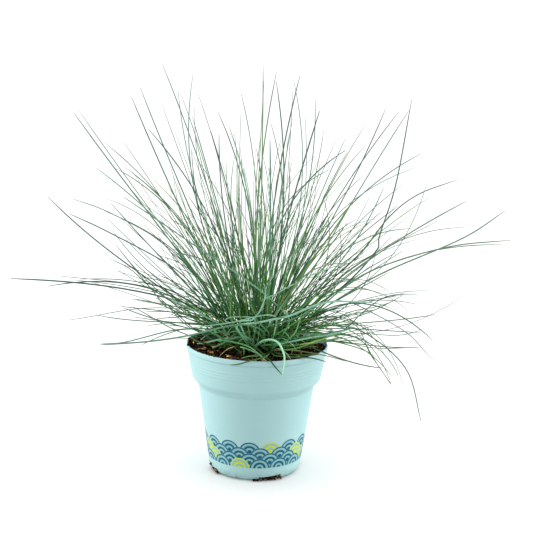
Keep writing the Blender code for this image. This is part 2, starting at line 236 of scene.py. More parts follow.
# The longest leaf of each tiller: its tip's place across and up, the same at the middle of its
# length, and how far behind the pot's axis the tip lies (negative: towards the viewer)
LONGEST_LEAVES = (
    # left side, from the top down
    (-82, 342, -42, 236, 15), (-57, 334, -54, 235, -35), (-57, 300, -33, 219, 105),
    (-100, 323, -57, 221, 60), (-107, 315, -66, 223, -50), (-93, 289, -44, 220, -100),
    (-154, 301, -83, 207, 35), (-136, 256, -81, 209, -60), (-120, 256, -65, 212, 95),
    (-156, 230, -91, 204, 80), (-158, 217, -91, 187, -75), (-176, 231, -100, 168, 20),
    (-124, 227, -74, 173, -110), (-124, 206, -78, 158, 120), (-208, 161, -111, 154, 30),
    (-177, 155, -95, 156, -60), (-108, 146, -57, 138, 150), (-114, 138, -70, 124, -60),
    (-136, 131, -74, 126, 50), (-133, 106, -78, 118, -20),
    # middle, from left to right
    (-36, 304, -8, 217, -85), (-35, 286, -29, 215, -130), (-27, 293, -7, 219, 110),
    (-22, 268, -23, 211, 150), (0, 343, 1, 228, -30), (11, 338, -2, 228, 45),
    (11, 330, 19, 228, -70), (7, 297, 19, 220, 120), (7, 282, 9, 211, -145),
    (30, 335, 12, 233, 20),
    # right side, from the top down
    (43, 318, 35, 220, 75), (47, 307, 25, 224, -90), (69, 285, 42, 216, 115),
    (69, 275, 25, 229, -120), (101, 310, 62, 221, 40), (112, 308, 66, 238, -45),
    (122, 318, 97, 190, -20), (132, 274, 72, 226, 70), (102, 245, 68, 181, -115),
    (163, 253, 88, 192, 45), (171, 235, 93, 184, -55), (204, 228, 110, 176, 30),
    (210, 203, 106, 180, -30), (127, 211, 72, 192, 130), (127, 140, 77, 158, 95),
    (149, 115, 86, 146, -60), (150, 138, 78, 128, 60), (142, 43, 100, 115, -35),
    (107, 90, 56, 103, -68),
    # towards the viewer
    (-70, 185, -35, 172, -150), (0, 225, 0, 192, -150), (75, 180, 38, 168, -150),
    # away from the viewer
    (-75, 215, -38, 185, 150), (-20, 200, -8, 180, 170), (40, 195, 20, 178, 168),
    (88, 215, 45, 182, 142),
)

# Further single leaves that show in the photograph, drawn the same way. Each grows from the tiller
# whose own tip is nearest.
MORE_LEAVES = (
    (-150, 303, -81, 208, 20), (-130, 278, -73, 221, 10), (-112, 257, -62, 210, -40),
    (-119, 191, -83, 152, -30), (-69, 321, -53, 239, 40), (-67, 319, -38, 231, 60),
    (-18, 322, -2, 226, 55), (1, 331, -2, 232, 20), (25, 332, 33, 229, -60),
    (25, 300, 15, 224, 70), (-42, 289, -27, 239, -60), (-29, 269, -22, 206, 90),
    (-4, 275, 5, 211, 120), (51, 292, 37, 220, 50), (71, 274, 50, 229, 85),
    (57, 259, 26, 235, -70), (86, 280, 43, 216, -50), (120, 309, 73, 226, 5),
    (127, 262, 71, 228, 30), (141, 238, 84, 192, -10), (203, 199, 107, 180, 10),
    (114, 190, 73, 162, 60), (111, 156, 73, 166, 70), (123, 155, 78, 132, -30),
    (138, 122, 74, 124, 20), (138, 109, 75, 112, -20), (116, 82, 70, 116, -45),
    (115, 76, 74, 124, -35),
)

# Single leaves that lie across the front and low on the right. For each: half its width, its tone
# from dark to light, its hue from mint to lime, how dry it is, how far behind the pot's axis it
# starts and ends, and the points that it passes, across and up as seen on the plane of the axis.
FRONT_LEAVES = (
    # the two long pale leaves that cross low in front, and the arched one above them
    (1.05, 0.90, 0.05, 0, -40, -66,
     ((-18, 125), (-3, 126), (10, 130), (26, 133), (40, 140), (60, 147), (96, 147))),
    (0.92, 0.62, 0.12, 0, -38, -66,
     ((4, 121), (-11, 126), (-32, 122), (-57, 115), (-91, 109), (-133, 105))),
    (0.66, 0.85, 0.08, 0, -36, -60,
     ((14, 117), (16, 129), (15, 134), (10, 135), (-1, 133), (-22, 127), (-61, 121))),
    # curls in the middle
    (0.70, 0.90, 0.06, 0, -42, -62,
     ((-15, 128), (-6, 128), (-3, 131), (1, 136), (5, 146), (6, 154), (5, 161))),
    (0.60, 0.80, 0.70, 0.15, -38, -44, ((-9, 128), (-13, 129), (-15, 132), (-16, 139))),
    (0.60, 0.80, 0.05, 0, -38, -48,
     ((-2, 130), (-14, 132), (-22, 132), (-27, 130), (-27, 127), (-22, 127))),
    (0.65, 0.75, 0.75, 0, -32, -42, ((-21, 128), (-23, 135), (-23, 146), (-22, 150))),
    (0.56, 0.55, 0.20, 0, -26, -44, ((-22, 128), (-25, 140), (-30, 150), (-35, 163))),
    (0.46, 0.70, 0.12, 0, -33, -62, ((14, 113), (1, 128), (-3, 136), (-8, 147), (-15, 161), (-22, 177))),
    (0.50, 0.60, 0.70, 0, -30, -55, ((4, 125), (-5, 143), (-13, 164), (-17, 174))),
    (0.55, 0.50, 0.50, 0, -30, -55, ((3, 115), (9, 135), (12, 152), (16, 172))),
    (0.80, 0.70, 0.12, 0, -32, -70, ((5, 117), (12, 129), (18, 139), (25, 150), (33, 162), (44, 181))),
    (0.38, 0.75, 0.10, 0, -38, -42, ((-8, 111), (-12, 116), (-16, 120), (-17, 124))),
    (0.38, 0.70, 0.10, 0, -38, -44, ((-4, 110), (-10, 116), (-14, 119), (-23, 119))),
    (0.45, 0.65, 0.60, 0, -36, -40, ((4, 114), (0, 120), (-6, 124))),
    # the two leaves that cross high in the middle
    (0.68, 0.88, 0.16, 0, -36, -110,
     ((27, 129), (16, 143), (1, 156), (-26, 175), (-56, 194), (-90, 217), (-113, 232))),
    (0.68, 0.86, 0.08, 0, -42, -90,
     ((5, 147), (12, 150), (22, 157), (35, 164), (50, 172), (66, 178), (80, 185))),
    # the pale yellowish bundle that leans to the right
    (0.85, 0.72, 0.90, 0, -24, -55,
     ((12, 126), (19, 145), (31, 162), (43, 181), (55, 198), (66, 215), (77, 234))),
    (0.75, 0.60, 0.86, 0, -20, -50, ((15, 126), (24, 145), (38, 165), (52, 185), (65, 203), (73, 215))),
    (0.70, 0.66, 0.80, 0, -26, -58, ((9, 128), (15, 147), (27, 167), (40, 188), (51, 207), (61, 224))),
    (0.60, 0.55, 0.30, 0, -22, -48, ((13, 128), (22, 150), (34, 170), (47, 192), (58, 208))),
    # curls on the right
    (0.62, 0.75, 0.60, 0, -34, -56,
     ((12, 114), (20, 120), (30, 127), (40, 135), (46, 139), (43, 141), (23, 138))),
    (0.60, 0.85, 0.55, 0, -36, -52, ((13, 109), (23, 111), (29, 116), (33, 122), (37, 136))),
    (0.60, 0.55, 0.10, 0, -34, -52, ((4, 122), (11, 125), (23, 129), (36, 134), (52, 145))),
    # over the soil and the lip
    (1.20, 0.95, 0.00, 0, -36, -67,
     ((1, 109), (6, 112), (12, 113), (17, 111), (20, 107), (23, 99), (23, 92), (22, 86), (21, 79))),
    (0.76, 0.75, 0.56, 0, -30, -63, ((-33, 111), (-20, 110), (-8, 107), (-2, 103), (4, 98), (10, 92))),
    (0.60, 0.85, 0.10, 0, -42, -50, ((-14, 106), (-8, 104), (-3, 102), (1, 100))),
    (0.80, 0.12, 0.60, 0, -46, -67, ((-6, 110), (4, 101), (12, 93), (22, 82))),
    (0.80, 0.30, 0.70, 0, -60, -64,
     ((9, 99), (0, 95), (-5, 94), (-9, 93), (-13, 91), (-18, 90), (-23, 90))),
    (0.70, 0.70, 0.60, 0, -48, -56, ((3, 99), (-6, 98), (-10, 97), (-13, 96))),
    (0.62, 0.28, 0.62, 0, -32, -42, ((-30, 111), (-22, 107), (-18, 104), (-13, 101))),
    (0.60, 0.65, 0.75, 0, -38, -46, ((-12, 107), (-11, 103), (-11, 99))),
    (0.50, 0.70, 0.10, 0, -38, -42, ((-6, 113), (-10, 113), (-14, 112), (-16, 110))),
    (0.55, 0.85, 0.30, 0.3, -50, -58, ((19, 105), (25, 101), (29, 96))),
    (0.95, 0.85, 0.06, 0, -28, -12, ((-4, 113), (-19, 114), (-33, 112), (-44, 109), (-51, 108))),
    (0.90, 0.72, 0.18, 0, -28, -40, ((-10, 114), (-22, 112), (-30, 108), (-38, 104))),
    (0.95, 0.78, 0.16, 0, -16, -30, ((-14, 112), (-25, 111), (-38, 118), (-50, 123))),
    (0.80, 0.64, 0.25, 0, -14, -24, ((-30, 110), (-38, 112), (-49, 118))),
    (0.80, 0.35, 0.70, 0, -20, -10, ((-47, 109), (-54, 112), (-58, 114))),
    (0.50, 0.60, 0.50, 1.0, -24, -22, ((-22, 112), (-27, 116), (-31, 119))),
    (0.95, 0.74, 0.15, 0, -34, -36, ((4, 108), (15, 108), (28, 108), (45, 110), (62, 114), (74, 117))),
    (1.05, 0.85, 0.06, 0, -32, -40, ((16, 108), (28, 111), (45, 115), (61, 118), (78, 123))),
    (0.95, 0.65, 0.12, 0, -24, -40, ((20, 112), (36, 115), (51, 118), (67, 121), (80, 124))),
    (0.85, 0.85, 0.91, 0, -40, -38, ((41, 110), (49, 112), (55, 114), (62, 117), (72, 121))),
    (0.75, 0.78, 0.60, 0, -44, -46, ((23, 104), (31, 105), (43, 109))),
    (0.50, 0.45, 0.60, 0, -40, -42, ((38, 106), (47, 108), (52, 107))),
    (0.60, 0.40, 0.20, 0.2, -44, -40, ((28, 104), (38, 103), (52, 101), (66, 98), (76, 95))),
    (0.72, 0.18, 0.64, 0, -54, -44, ((14, 100), (21, 98), (29, 98), (38, 98), (50, 97), (60, 94))),
    (0.72, 0.22, 0.66, 0, -48, -46, ((18, 101), (24, 100), (37, 100), (45, 100), (54, 101))),
    (0.45, 0.70, 0.50, 0.8, -40, -44, ((-20, 106), (-26, 103), (-32, 97))),
    (0.45, 0.50, 0.50, 1.0, -40, -34, ((20, 104), (28, 104), (36, 104))),
    # to the left
    (0.90, 0.88, 0.08, 0, -22, -44, ((-30, 124), (-40, 129), (-52, 136), (-65, 142), (-77, 148))),
    (0.74, 0.68, 0.20, 0, -18, -44, ((-28, 124), (-44, 127), (-58, 132), (-72, 139), (-86, 147))),
    (0.74, 0.78, 0.90, 0, -22, -40, ((-28, 126), (-42, 133), (-56, 141), (-68, 149))),
    (0.74, 0.43, 0.60, 0, -16, -36, ((-32, 120), (-46, 127), (-60, 135))),
    (0.57, 0.58, 0.50, 0, -8, -30, ((-40, 130), (-70, 143), (-91, 156), (-107, 171), (-125, 180))),
    (0.56, 0.53, 0.40, 0, -4, -20, ((-40, 128), (-74, 137), (-87, 151), (-101, 168), (-120, 192))),
    (0.56, 0.48, 0.20, 0, -6, -24, ((-40, 118), (-52, 120), (-60, 126), (-73, 138), (-86, 150))),
    (0.56, 0.53, 0.30, 0, -6, -20, ((-44, 116), (-56, 121), (-66, 129), (-75, 139))),
    (0.56, 0.58, 0.30, 0, -8, -30, ((-40, 112), (-55, 114), (-73, 121), (-84, 127), (-105, 139))),
    (0.56, 0.63, 0.30, 0, -8, -24, ((-38, 122), (-61, 125), (-81, 127), (-105, 130))),
    (0.56, 0.53, 0.75, 0, -8, -20, ((-36, 133), (-59, 138), (-76, 141), (-105, 146))),
    # low on the right
    (0.50, 0.55, 0.35, 0, -10, -45,
     ((30, 121), (61, 121), (83, 117), (100, 109), (111, 99), (119, 87), (121, 81))),
    (0.63, 0.60, 0.80, 0, -16, -34, ((30, 114), (51, 114), (67, 112), (83, 108), (94, 104), (100, 100))),
    (0.50, 0.85, 0.80, 0, -12, -30, ((22, 117), (40, 121), (54, 126), (74, 134), (89, 141))),
    (0.50, 0.55, 0.30, 0, 6, 20, ((30, 138), (56, 146), (73, 148), (94, 147), (106, 145), (115, 141))),
    (0.50, 0.85, 0.40, 0, -6, -16, ((26, 134), (46, 139), (61, 139), (73, 136), (81, 130))),
    (0.50, 0.70, 0.60, 0, -14, -30, ((30, 113), (52, 113), (66, 114), (83, 117), (96, 121))),
    (0.50, 0.50, 0.45, 0, 4, 12, ((35, 120), (61, 130), (79, 139), (99, 143), (115, 149))),
    (0.50, 0.55, 0.30, 0, -12, -50,
     ((30, 120), (57, 118), (78, 118), (91, 112), (98, 100), (107, 87), (115, 76))),
    (0.50, 0.55, 0.60, 0, 8, 10,
     ((30, 112), (62, 112), (79, 111), (93, 108), (108, 107), (123, 108), (138, 109))),
    (0.50, 0.60, 0.30, 0, 0, -25,
     ((38, 138), (56, 146), (72, 149), (87, 143), (99, 137), (111, 131), (130, 119), (140, 108),
      (150, 98))),
    (0.50, 0.60, 0.50, 0, -10, -30,
     ((40, 120), (62, 128), (76, 130), (84, 127), (90, 116), (96, 102), (105, 90), (115, 75))),
    (0.50, 0.85, 0.50, 0, 0, 10,
     ((40, 116), (60, 117), (87, 120), (106, 119), (122, 119), (133, 122), (142, 126))),
    (0.50, 0.65, 0.50, 0, -6, -4, ((34, 113), (56, 116), (70, 119), (85, 123), (102, 128))),
    (0.50, 0.50, 0.40, 0, -8, -10, ((34, 112), (56, 112), (70, 113), (84, 114), (94, 114))),
    (0.58, 0.60, 0.18, 0, 0, -14,
     ((50, 114), (69, 120), (77, 126), (87, 137), (95, 144), (104, 151), (112, 154), (124, 155),
      (134, 155))),
)


# ---------------------------------------------------------------- finishes

class Finish:
    """A Principled material, with short names for the nodes that feed it."""

    def __init__(self, name):
        self.material = bpy.data.materials.new(name)
        self.material.use_nodes = True
        self.tree = self.material.node_tree
        self.shader = self.tree.nodes["Principled BSDF"]

    def put(self, value, socket):
        if isinstance(value, bpy.types.NodeSocket):
            self.tree.links.new(value, socket)
        else:
            socket.default_value = (*value, 1.0) if isinstance(value, tuple) else value

    def set(self, **inputs):
        for name, value in inputs.items():
            self.put(value, self.shader.inputs[name.replace("_", " ")])

    def node(self, kind, inputs, **settings):
        """A new node with these settings, and a value or a link for each of these inputs."""
        made = self.tree.nodes.new("ShaderNode" + kind)
        for name, setting in settings.items():
            setattr(made, name, setting)
        for key, value in inputs.items():
            self.put(value, made.inputs[key])
        return made

    def math(self, operation, first, second=0.0):
        return self.node("Math", {0: first, 1: second}, operation=operation).outputs[0]

    def times(self, first, second):
        return self.math('MULTIPLY', first, second)

    def mix(self, share, low, high, blend='MIX'):
        inputs = {0: share, 6: low, 7: high}
        return self.node("Mix", inputs, data_type='RGBA', blend_type=blend).outputs[2]

    def ramp(self, share, *stops):
        node = self.node("ValToRGB", {0: share})
        points = node.color_ramp.elements
        while len(points) < len(stops):
            points.new(0.5)
        for point, (place, colour) in zip(points, stops):
            point.position = place
            point.color = (*colour, 1.0) if isinstance(colour, tuple) else (colour,) * 3 + (1.0,)
        return node.outputs[0]

    def place(self):
        return self.node("TexCoord", {}).outputs["Object"]

    def noise(self, scale, detail=3.0, rough=0.5):
        return self.node("TexNoise", {"Vector": self.place(), "Scale": scale, "Detail": detail,
                                      "Roughness": rough}).outputs[0]

    def attribute(self, name):
        return self.node("Attribute", {}, attribute_name=name).outputs["Fac"]

    def bump(self, height, distance, strength):
        node = self.node("Bump", {"Strength": strength, "Distance": distance, "Height": height})
        self.put(node.outputs[0], self.shader.inputs["Normal"])


def leaf_finish():
    """Waxy leaf: its colour goes by the distance from the root, its own tone and hue, and how dry
    it is. Near the root and the crown it is darker, partly its own greener base and partly painted shade of
    the crowded clump, and there its tones spread wider, from painted deep shade to pale. The groove on its
    upper side is greener and its keel has ribs, with painted shade in the grooves between them."""
    leaf = Finish("glaucous leaf")
    along, reach, rib = leaf.attribute("along"), leaf.attribute("reach"), leaf.attribute("rib")
    tone, hue, dry = leaf.attribute("tone"), leaf.attribute("hue"), leaf.attribute("dry")
    # Darkest a little above the root: partly the leaf's own green base, partly painted shade of the crowded
    # crown.
    outside = leaf.ramp(reach, (0.0, (0.09, 0.12, 0.02)), (0.06, (0.014, 0.060, 0.005)),
                        (0.16, (0.028, 0.134, 0.016)), (0.35, (0.088, 0.282, 0.088)),
                        (0.65, (0.155, 0.278, 0.182)), (1.0, (0.130, 0.194, 0.160)))
    groove = leaf.ramp(reach, (0.0, (0.07, 0.10, 0.008)), (0.08, (0.006, 0.04, 0.003)),
                       (0.3, (0.030, 0.132, 0.022)), (0.6, (0.105, 0.228, 0.122)),
                       (1.0, (0.115, 0.190, 0.145)))
    inner = leaf.ramp(rib, (0.52, 0.0), (0.60, 1.0), (0.92, 1.0), (0.99, 0.0))
    bloom = leaf.ramp(leaf.noise(140.0, 4.0), (0.40, 0.0), (0.66, 1.0))
    powder = leaf.times(bloom, leaf.ramp(reach, (0.1, 0.0), (0.5, 0.3)))
    colour = leaf.mix(leaf.times(inner, 0.8), leaf.mix(powder, outside, (0.25, 0.42, 0.33)), groove)

    # How far a point is out of the crowded core, where shade is painted; teal and mint show only out there.
    grown_out_of_shade = leaf.ramp(reach, (0.08, 0.2), (0.46, 1.0))
    teal = leaf.times(leaf.ramp(hue, (0.14, 0.0), (0.20, 0.55), (0.32, 0.55), (0.40, 0.0)), grown_out_of_shade)
    vivid = leaf.ramp(hue, (0.54, 0.0), (0.66, 0.6), (0.86, 0.6), (0.94, 0.0))
    mint = leaf.times(leaf.ramp(hue, (0.06, 0.8), (0.16, 0.0)), grown_out_of_shade)
    lime = leaf.ramp(hue, (0.84, 0.0), (0.96, 0.75))
    for share, tint in ((teal, (0.090, 0.212, 0.172)), (vivid, (0.120, 0.25, 0.038)),
                        (mint, (0.25, 0.46, 0.36)), (lime, (0.27, 0.36, 0.06))):
        colour = leaf.mix(share, colour, tint)
    # Near the root, tones spread from painted deep shade to pale; clear of the crown they differ less, at
    # random.
    near_shade = leaf.ramp(tone, (0.0, 0.01), (0.22, 0.12), (0.5, 0.86), (0.75, 2.40), (1.0, 4.80))
    far_shade = leaf.ramp(tone, (0.0, 0.22), (0.5, 0.74), (1.0, 1.50))
    colour = leaf.mix(1.0, colour, leaf.mix(grown_out_of_shade, near_shade, far_shade), 'MULTIPLY')

    ribs = leaf.math('SINE', leaf.times(rib, 44.0))
    # darker stripes in the grooves between the ribs: painted shade, beside the bump that shapes them
    rib_groove_shaded = leaf.mix(leaf.ramp(ribs, (0.3, 0.25), (0.75, 0.0)), colour, (0.025, 0.10, 0.03))
    straw = leaf.ramp(leaf.noise(260.0), (0.3, (0.33, 0.22, 0.10)), (0.7, (0.58, 0.46, 0.25)))
    tip_dry = leaf.times(leaf.ramp(along, (0.962, 0.0), (1.0, 1.0)), leaf.ramp(hue, (0.3, 0.1), (0.6, 0.6)))
    leaf.set(Base_Color=leaf.mix(leaf.math('MAXIMUM', dry, tip_dry), rib_groove_shaded, straw),
             Roughness=leaf.ramp(bloom, (0.0, 0.45), (1.0, 0.65)), Specular_IOR_Level=0.15)
    leaf.bump(ribs, 0.00008, 0.5)
    return leaf.material


def crease_shade_line(finish, z, height, reach):
    """A thin line of painted shade around the pot, where a crease is, fading within reach millimetres of a
    height.
    """
    away = finish.math('ABSOLUTE', finish.math('SUBTRACT', finish.math('DIVIDE', z, MM), height))
    return finish.ramp(finish.math('DIVIDE', away, reach), (0.0, 1.0), (1.0, 0.0))


def scallops(pot, x, y, height, plain):
    """Rows of overlapping scallops over a plain colour, each with dark rings on a pale ground."""
    turn = pot.math('DIVIDE', pot.math('ARCTAN2', y, x), tau / SCALLOPS)
    colour = plain
    for row in reversed(range(SCALLOP_ROWS)):
        shift = 0.5 if row % 2 else 0.0
        cell = pot.math('FLOOR', pot.math('ADD', turn, shift))
        middle = pot.math('SUBTRACT', pot.math('ADD', cell, 0.5), shift)
        side = pot.times(pot.math('SUBTRACT', turn, middle), SCALLOP_PITCH)
        up = pot.math('SUBTRACT', height, row * SCALLOP_RISE)
        squares = pot.math('ADD', pot.math('POWER', side, 2.0), pot.math('POWER', up, 2.0))
        share = pot.math('DIVIDE', pot.math('SQRT', squares), SCALLOP_RADIUS)
        rings = pot.ramp(share, (0.0, 0.0), (0.2, 0.0), (0.22, 1.0), (0.4, 1.0), (0.42, 0.0),
                         (0.62, 0.0), (0.64, 1.0), (0.84, 1.0), (0.86, 0.0), (0.97, 0.0), (1.0, 1.0))
        count = pot.math('FRACT', pot.times(pot.math('ADD', cell, 30.0 + row), 1.0 / LIME_EVERY))
        ink = pot.mix(pot.math('LESS_THAN', count, 0.5 / LIME_EVERY), BLUE_INK, LIME_INK)
        scallop = pot.mix(rings, ink, pot.mix(0.60, THIN_INK, plain))
        colour = pot.mix(pot.math('LESS_THAN', share, 1.0), colour, scallop)
    return colour


def pot_finish():
    """Matt aqua plastic with a printed band near the foot, a dirty foot, pale dust specks, and thin lines of
    painted shade in the creases under the lip and under the collar's step.
    """
    pot = Finish("aqua plastic")
    x, y, z = pot.node("SeparateXYZ", {0: pot.place()}).outputs
    height = pot.math('SUBTRACT', pot.math('DIVIDE', z, MM), BAND_FOOT)
    plain = pot.ramp(pot.noise(18.0, 2.0), (0.3, (0.286, 0.456, 0.464)), (0.7, (0.304, 0.479, 0.487)))
    band_top = SCALLOP_RISE * SCALLOP_ROWS + SCALLOP_RADIUS
    printed = pot.times(pot.math('GREATER_THAN', height, 0.0), pot.math('LESS_THAN', height, band_top))
    worn = pot.ramp(pot.noise(900.0, 2.0), (0.28, 0.95), (0.4, 1.0))
    surface = pot.mix(pot.times(printed, worn), plain, scallops(pot, x, y, height, plain))
    low = pot.ramp(pot.math('DIVIDE', z, 9.0 * MM), (0.0, 1.0), (1.0, 0.0))
    grime = pot.times(low, pot.ramp(pot.noise(240.0, 4.0, 0.7), (0.54, 0.0), (0.66, 1.0)))
    surface = pot.mix(pot.times(grime, 0.7), surface, (0.10, 0.07, 0.045))
    # painted shade lines in the creases under the lip and at the step under the collar
    crease_shades = pot.math('MAXIMUM', crease_shade_line(pot, z, POT_HEIGHT - LIP_HEIGHT - 0.5, 0.55),
                     crease_shade_line(pot, z, BODY_TOP_Z - 0.2, 0.7))
    surface = pot.mix(pot.times(crease_shades, 0.22), surface, (0.09, 0.19, 0.20))
    dust = pot.times(pot.ramp(pot.noise(55.0, 5.0, 0.65), (0.55, 0.0), (0.75, 1.0)), 0.05)
    surface = pot.mix(dust, surface, (0.62, 0.72, 0.70))
    pot.set(Base_Color=surface, Roughness=pot.ramp(pot.noise(90.0), (0.3, 0.42), (0.7, 0.54)),
            Specular_IOR_Level=0.15)
    pot.bump(pot.noise(1400.0, 2.0), 0.00004, 0.4)
    return pot.material


def soil_finish(name, dark, pale, scale=300.0, rough=0.85):
    """Moist peat or bark: two earth colours in fine clots."""
    soil = Finish(name)
    clots = soil.ramp(soil.noise(scale, 5.0, 0.7), (0.35, dark), (0.72, pale))
    shade = soil.ramp(soil.attribute("tone"), (0.0, 0.12), (0.45, 0.8), (0.75, 2.4), (1.0, 5.0))
    soil.set(Base_Color=soil.mix(1.0, clots, shade, 'MULTIPLY'), Roughness=rough, Specular_IOR_Level=0.02)
    soil.bump(soil.noise(scale * 2.4, 4.0, 0.75), 0.0004, 0.8)
    return soil.material


# ---------------------------------------------------------------- meshes

def polar(radius, turn):
    """The x and y of the place at this distance and angle from the pot's axis."""
    return radius * cos(turn), radius * sin(turn)


def tube_faces(first, rings, sides, pointed=False):
    """Faces around rings of points that follow one another from number first on, and over both ends,
    or only over the last end where the first ring is a mere point."""
    last = first + (rings - 1) * sides
    faces = []
    for low in range(first, last, sides):
        high = low + sides
        for side in range(sides):
            after = (side + 1) % sides
            faces.append((low + side, high + side, high + after, low + after))
    ends = [tuple(range(first, first + sides)), tuple(reversed(range(last, last + sides)))]
    return faces + (ends[1:] if pointed else ends)


def add_mesh(name, points, faces, finish, values, replaced=None):
    """A named piece from points in millimetres, with values for its finish, riding on the part."""
    mesh = bpy.data.meshes.new(name)
    mesh.from_pydata([tuple(point) for point in np.asarray(points) * MM], [], faces)
    for title, numbers in values.items():
        layer = mesh.attributes.new(title, 'FLOAT', 'POINT')
        layer.data.foreach_set("value", np.asarray(numbers, dtype=np.float32))
    mesh.validate()
    mesh.shade_smooth()
    mesh.materials.append(finish)
    piece = bpy.data.objects.new(name, mesh)
    bpy.context.collection.objects.link(piece)
    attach(piece, "root")
    if replaced:
        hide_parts(replaced)


# A rolled fescue leaf cut across: a shallow groove on its upper side and a keel below
BLADE_PROFILE = ((-0.85, -0.44), (-0.45, -0.24), (0.0, 0.06), (0.45, -0.24), (0.85, -0.44), (0.78, 0.42),
                 (0.0, 0.98), (-0.78, 0.42))
ROUND_PROFILE = tuple(polar(1.0, number * tau / 8) for number in range(8))


class Strands:
    """Many tapering strands, gathered into one mesh with a few values for the finish."""

    def __init__(self):
        self.points = []
        self.faces = []
        self.values = {"along": [], "rib": [], "tone": [], "hue": [], "dry": [], "reach": []}

    def add(self, path, outwards, sizes, tone, hue, dry=0.0, profile=BLADE_PROFILE, twist=0.0, shown=0.0):
        """Sweep a profile along a path. The profile's second axis starts out facing outwards.
        Colour goes by the distance from the root, to which shown is added, or by the distance from
        the crown's edge times CLEAR_FACTOR, where that is more; where both are short the finish paints shade."""
        count = len(profile)
        last = len(path) - 1
        self.faces += tube_faces(len(self.points), len(path), count)
        facing = Vector(outwards)
        travelled = shown
        for step, place in enumerate(path):
            ahead = (path[min(step + 1, last)] - path[max(step - 1, 0)]).normalized()
            facing = (facing - ahead * facing.dot(ahead)).normalized()
            if twist:
                facing.rotate(Quaternion(ahead, twist / last))
            side = ahead.cross(facing)
            if step:
                travelled += (place - path[step - 1]).length
            # short distances from both the root and the crown's edge get the finish's painted shade of the
            # crowded clump
            reach = max(travelled, CLEAR_FACTOR * (hypot(place.x, place.y) - CROWN_RADIUS)) / COLOUR_REACH
            for number, (across, out) in enumerate(profile):
                self.points.append(place + (side * across + facing * out) * sizes[step])
                row = (step / last, number / count, tone, hue, dry, reach)
                for values, value in zip(self.values.values(), row):
                    values.append(value)

    def make(self, name, finish, slot, replaced=None):
        add_mesh(name, self.points, self.faces, finish, self.values, replaced)


# ---------------------------------------------------------------- leaf routes, as in the part

def seen_at(across, up, depth):
    """The point at this depth that looks, from the eye, as if it were at (across, up) on the axis."""
    on_plane = Vector((across, 0.0, up))
    return EYE + (on_plane - EYE) * ((depth - EYE.y) / -EYE.y)


def standing_spots():
    """Places for tillers to stand, spread evenly over the crown."""
    return [Vector(polar(SPOT_RADIUS * sqrt((number + 0.5) / SPOTS), number * GOLDEN_TURN))
            for number in range(SPOTS)]


def bow_share(start, bow, tip):
    """How far along its length a bend from start to tip passes bow."""
    near = (bow - start).length
    return near / (near + (tip - bow).length)


def bend_peak(start, bow, tip):
    """The corner of the smooth bend that runs from start through bow to tip."""
    share = bow_share(start, bow, tip)
    rest = 1.0 - share
    return (bow - start * rest ** 2 - tip * share ** 2) / (2 * share * rest)


def along_bend(controls, share):
    """The point at a share of the way along a cubic bend."""
    start, first, second, tip = controls
    rest = 1.0 - share
    return (start * rest ** 3 + first * (3 * rest * rest * share)
            + second * (3 * rest * share * share) + tip * share ** 3)


def bend_points(bend):
    """Points along one fine leaf, from just above its neck to its tip."""
    return [along_bend(bend, step / STATIONS) for step in range(1, STATIONS + 1)]


def bend_controls(neck, heading, bow, tip, hold):
    """The cubic bend that leaves neck partly along heading, passes by bow and ends at tip."""
    peak = bend_peak(neck, bow, tip)
    reach = (peak - neck) * 2 / 3
    first = neck + reach.lerp(heading * reach.length, hold)
    return neck, first, tip + (peak - tip) * 2 / 3, tip


def tiller_shape(spot, row, stray, dice):
    """A tiller's foot, neck and main bend, and for each leaf its sector, drift and length."""
    across, up, bow_across, bow_up, depth = row
    depth += dice.uniform(-stray, stray)
    bow_across += dice.uniform(-0.2, 0.2) * stray
    tip = seen_at(across, up, depth)
    bow = seen_at(bow_across, bow_up, (depth + spot.y) / 2)

    foot = Vector((spot.x, spot.y, CROWN_BALL_Z + sqrt(CROWN_BALL ** 2 - spot.length_squared)))
    normal = (foot - Vector((0.0, 0.0, CROWN_BALL_Z))).normalized()
    heading = (normal + SHEATH_LEAN * (bend_peak(foot, bow, tip) - foot).normalized()).normalized()
    foot += normal * (GAP + SHEATH_RADIUS * sin(normal.angle(heading)) + 0.1)
    neck = foot + heading * SHEATH_LENGTH
    controls = bend_controls(neck, heading, bow, tip, dice.uniform(*LEAF_HOLD))

    outwards = tip - neck
    outwards = (outwards - heading * outwards.dot(heading)).normalized()
    outwards.rotate(Quaternion(heading, radians(dice.uniform(-1.5, 1.5) * stray)))
    sideways = heading.cross(outwards)
    spread = dice.uniform(9.0, 18.0)
    lengths = (1.0, dice.uniform(0.74, 0.93), dice.uniform(0.55, 0.78))
    leaves = []
    for number, length in enumerate(lengths):
        turn = number * tau / LEAVES
        sector = outwards * cos(turn) + sideways * sin(turn)
        leaves.append((sector, (sector - outwards) * spread, length))
    return foot, neck, controls, leaves


def leaf_points(controls, drift, length, steps):
    """Points along one leaf: the tiller's bend, cut to length and drifting off sideways."""
    return [along_bend(controls, length * step / steps) + drift * (step / steps)
            for step in range(1, steps + 1)]


def leaf_size(step):
    """A plain leaf's thickness at a step, as a share of the thickness at its base."""
    return LEAF_TIP + (1.0 - LEAF_TIP) * (1.0 - (step / LEAF_STEPS) ** 1.8)


def segments(foot, neck, controls, leaves):
    """Every straight stretch of a plain tiller as start, end and radius."""
    found = [(*foot, *neck, SHEATH_RADIUS)]
    for _, drift, length in leaves:
        line = [neck] + leaf_points(controls, drift, length, LEAF_STEPS)
        for step, (start, end) in enumerate(zip(line, line[1:])):
            radius = 0.6 * LEAF_WIDTH * leaf_size(step) if step else FORK_RADIUS
            found.append((*start, *end, radius))
    return np.array(found)


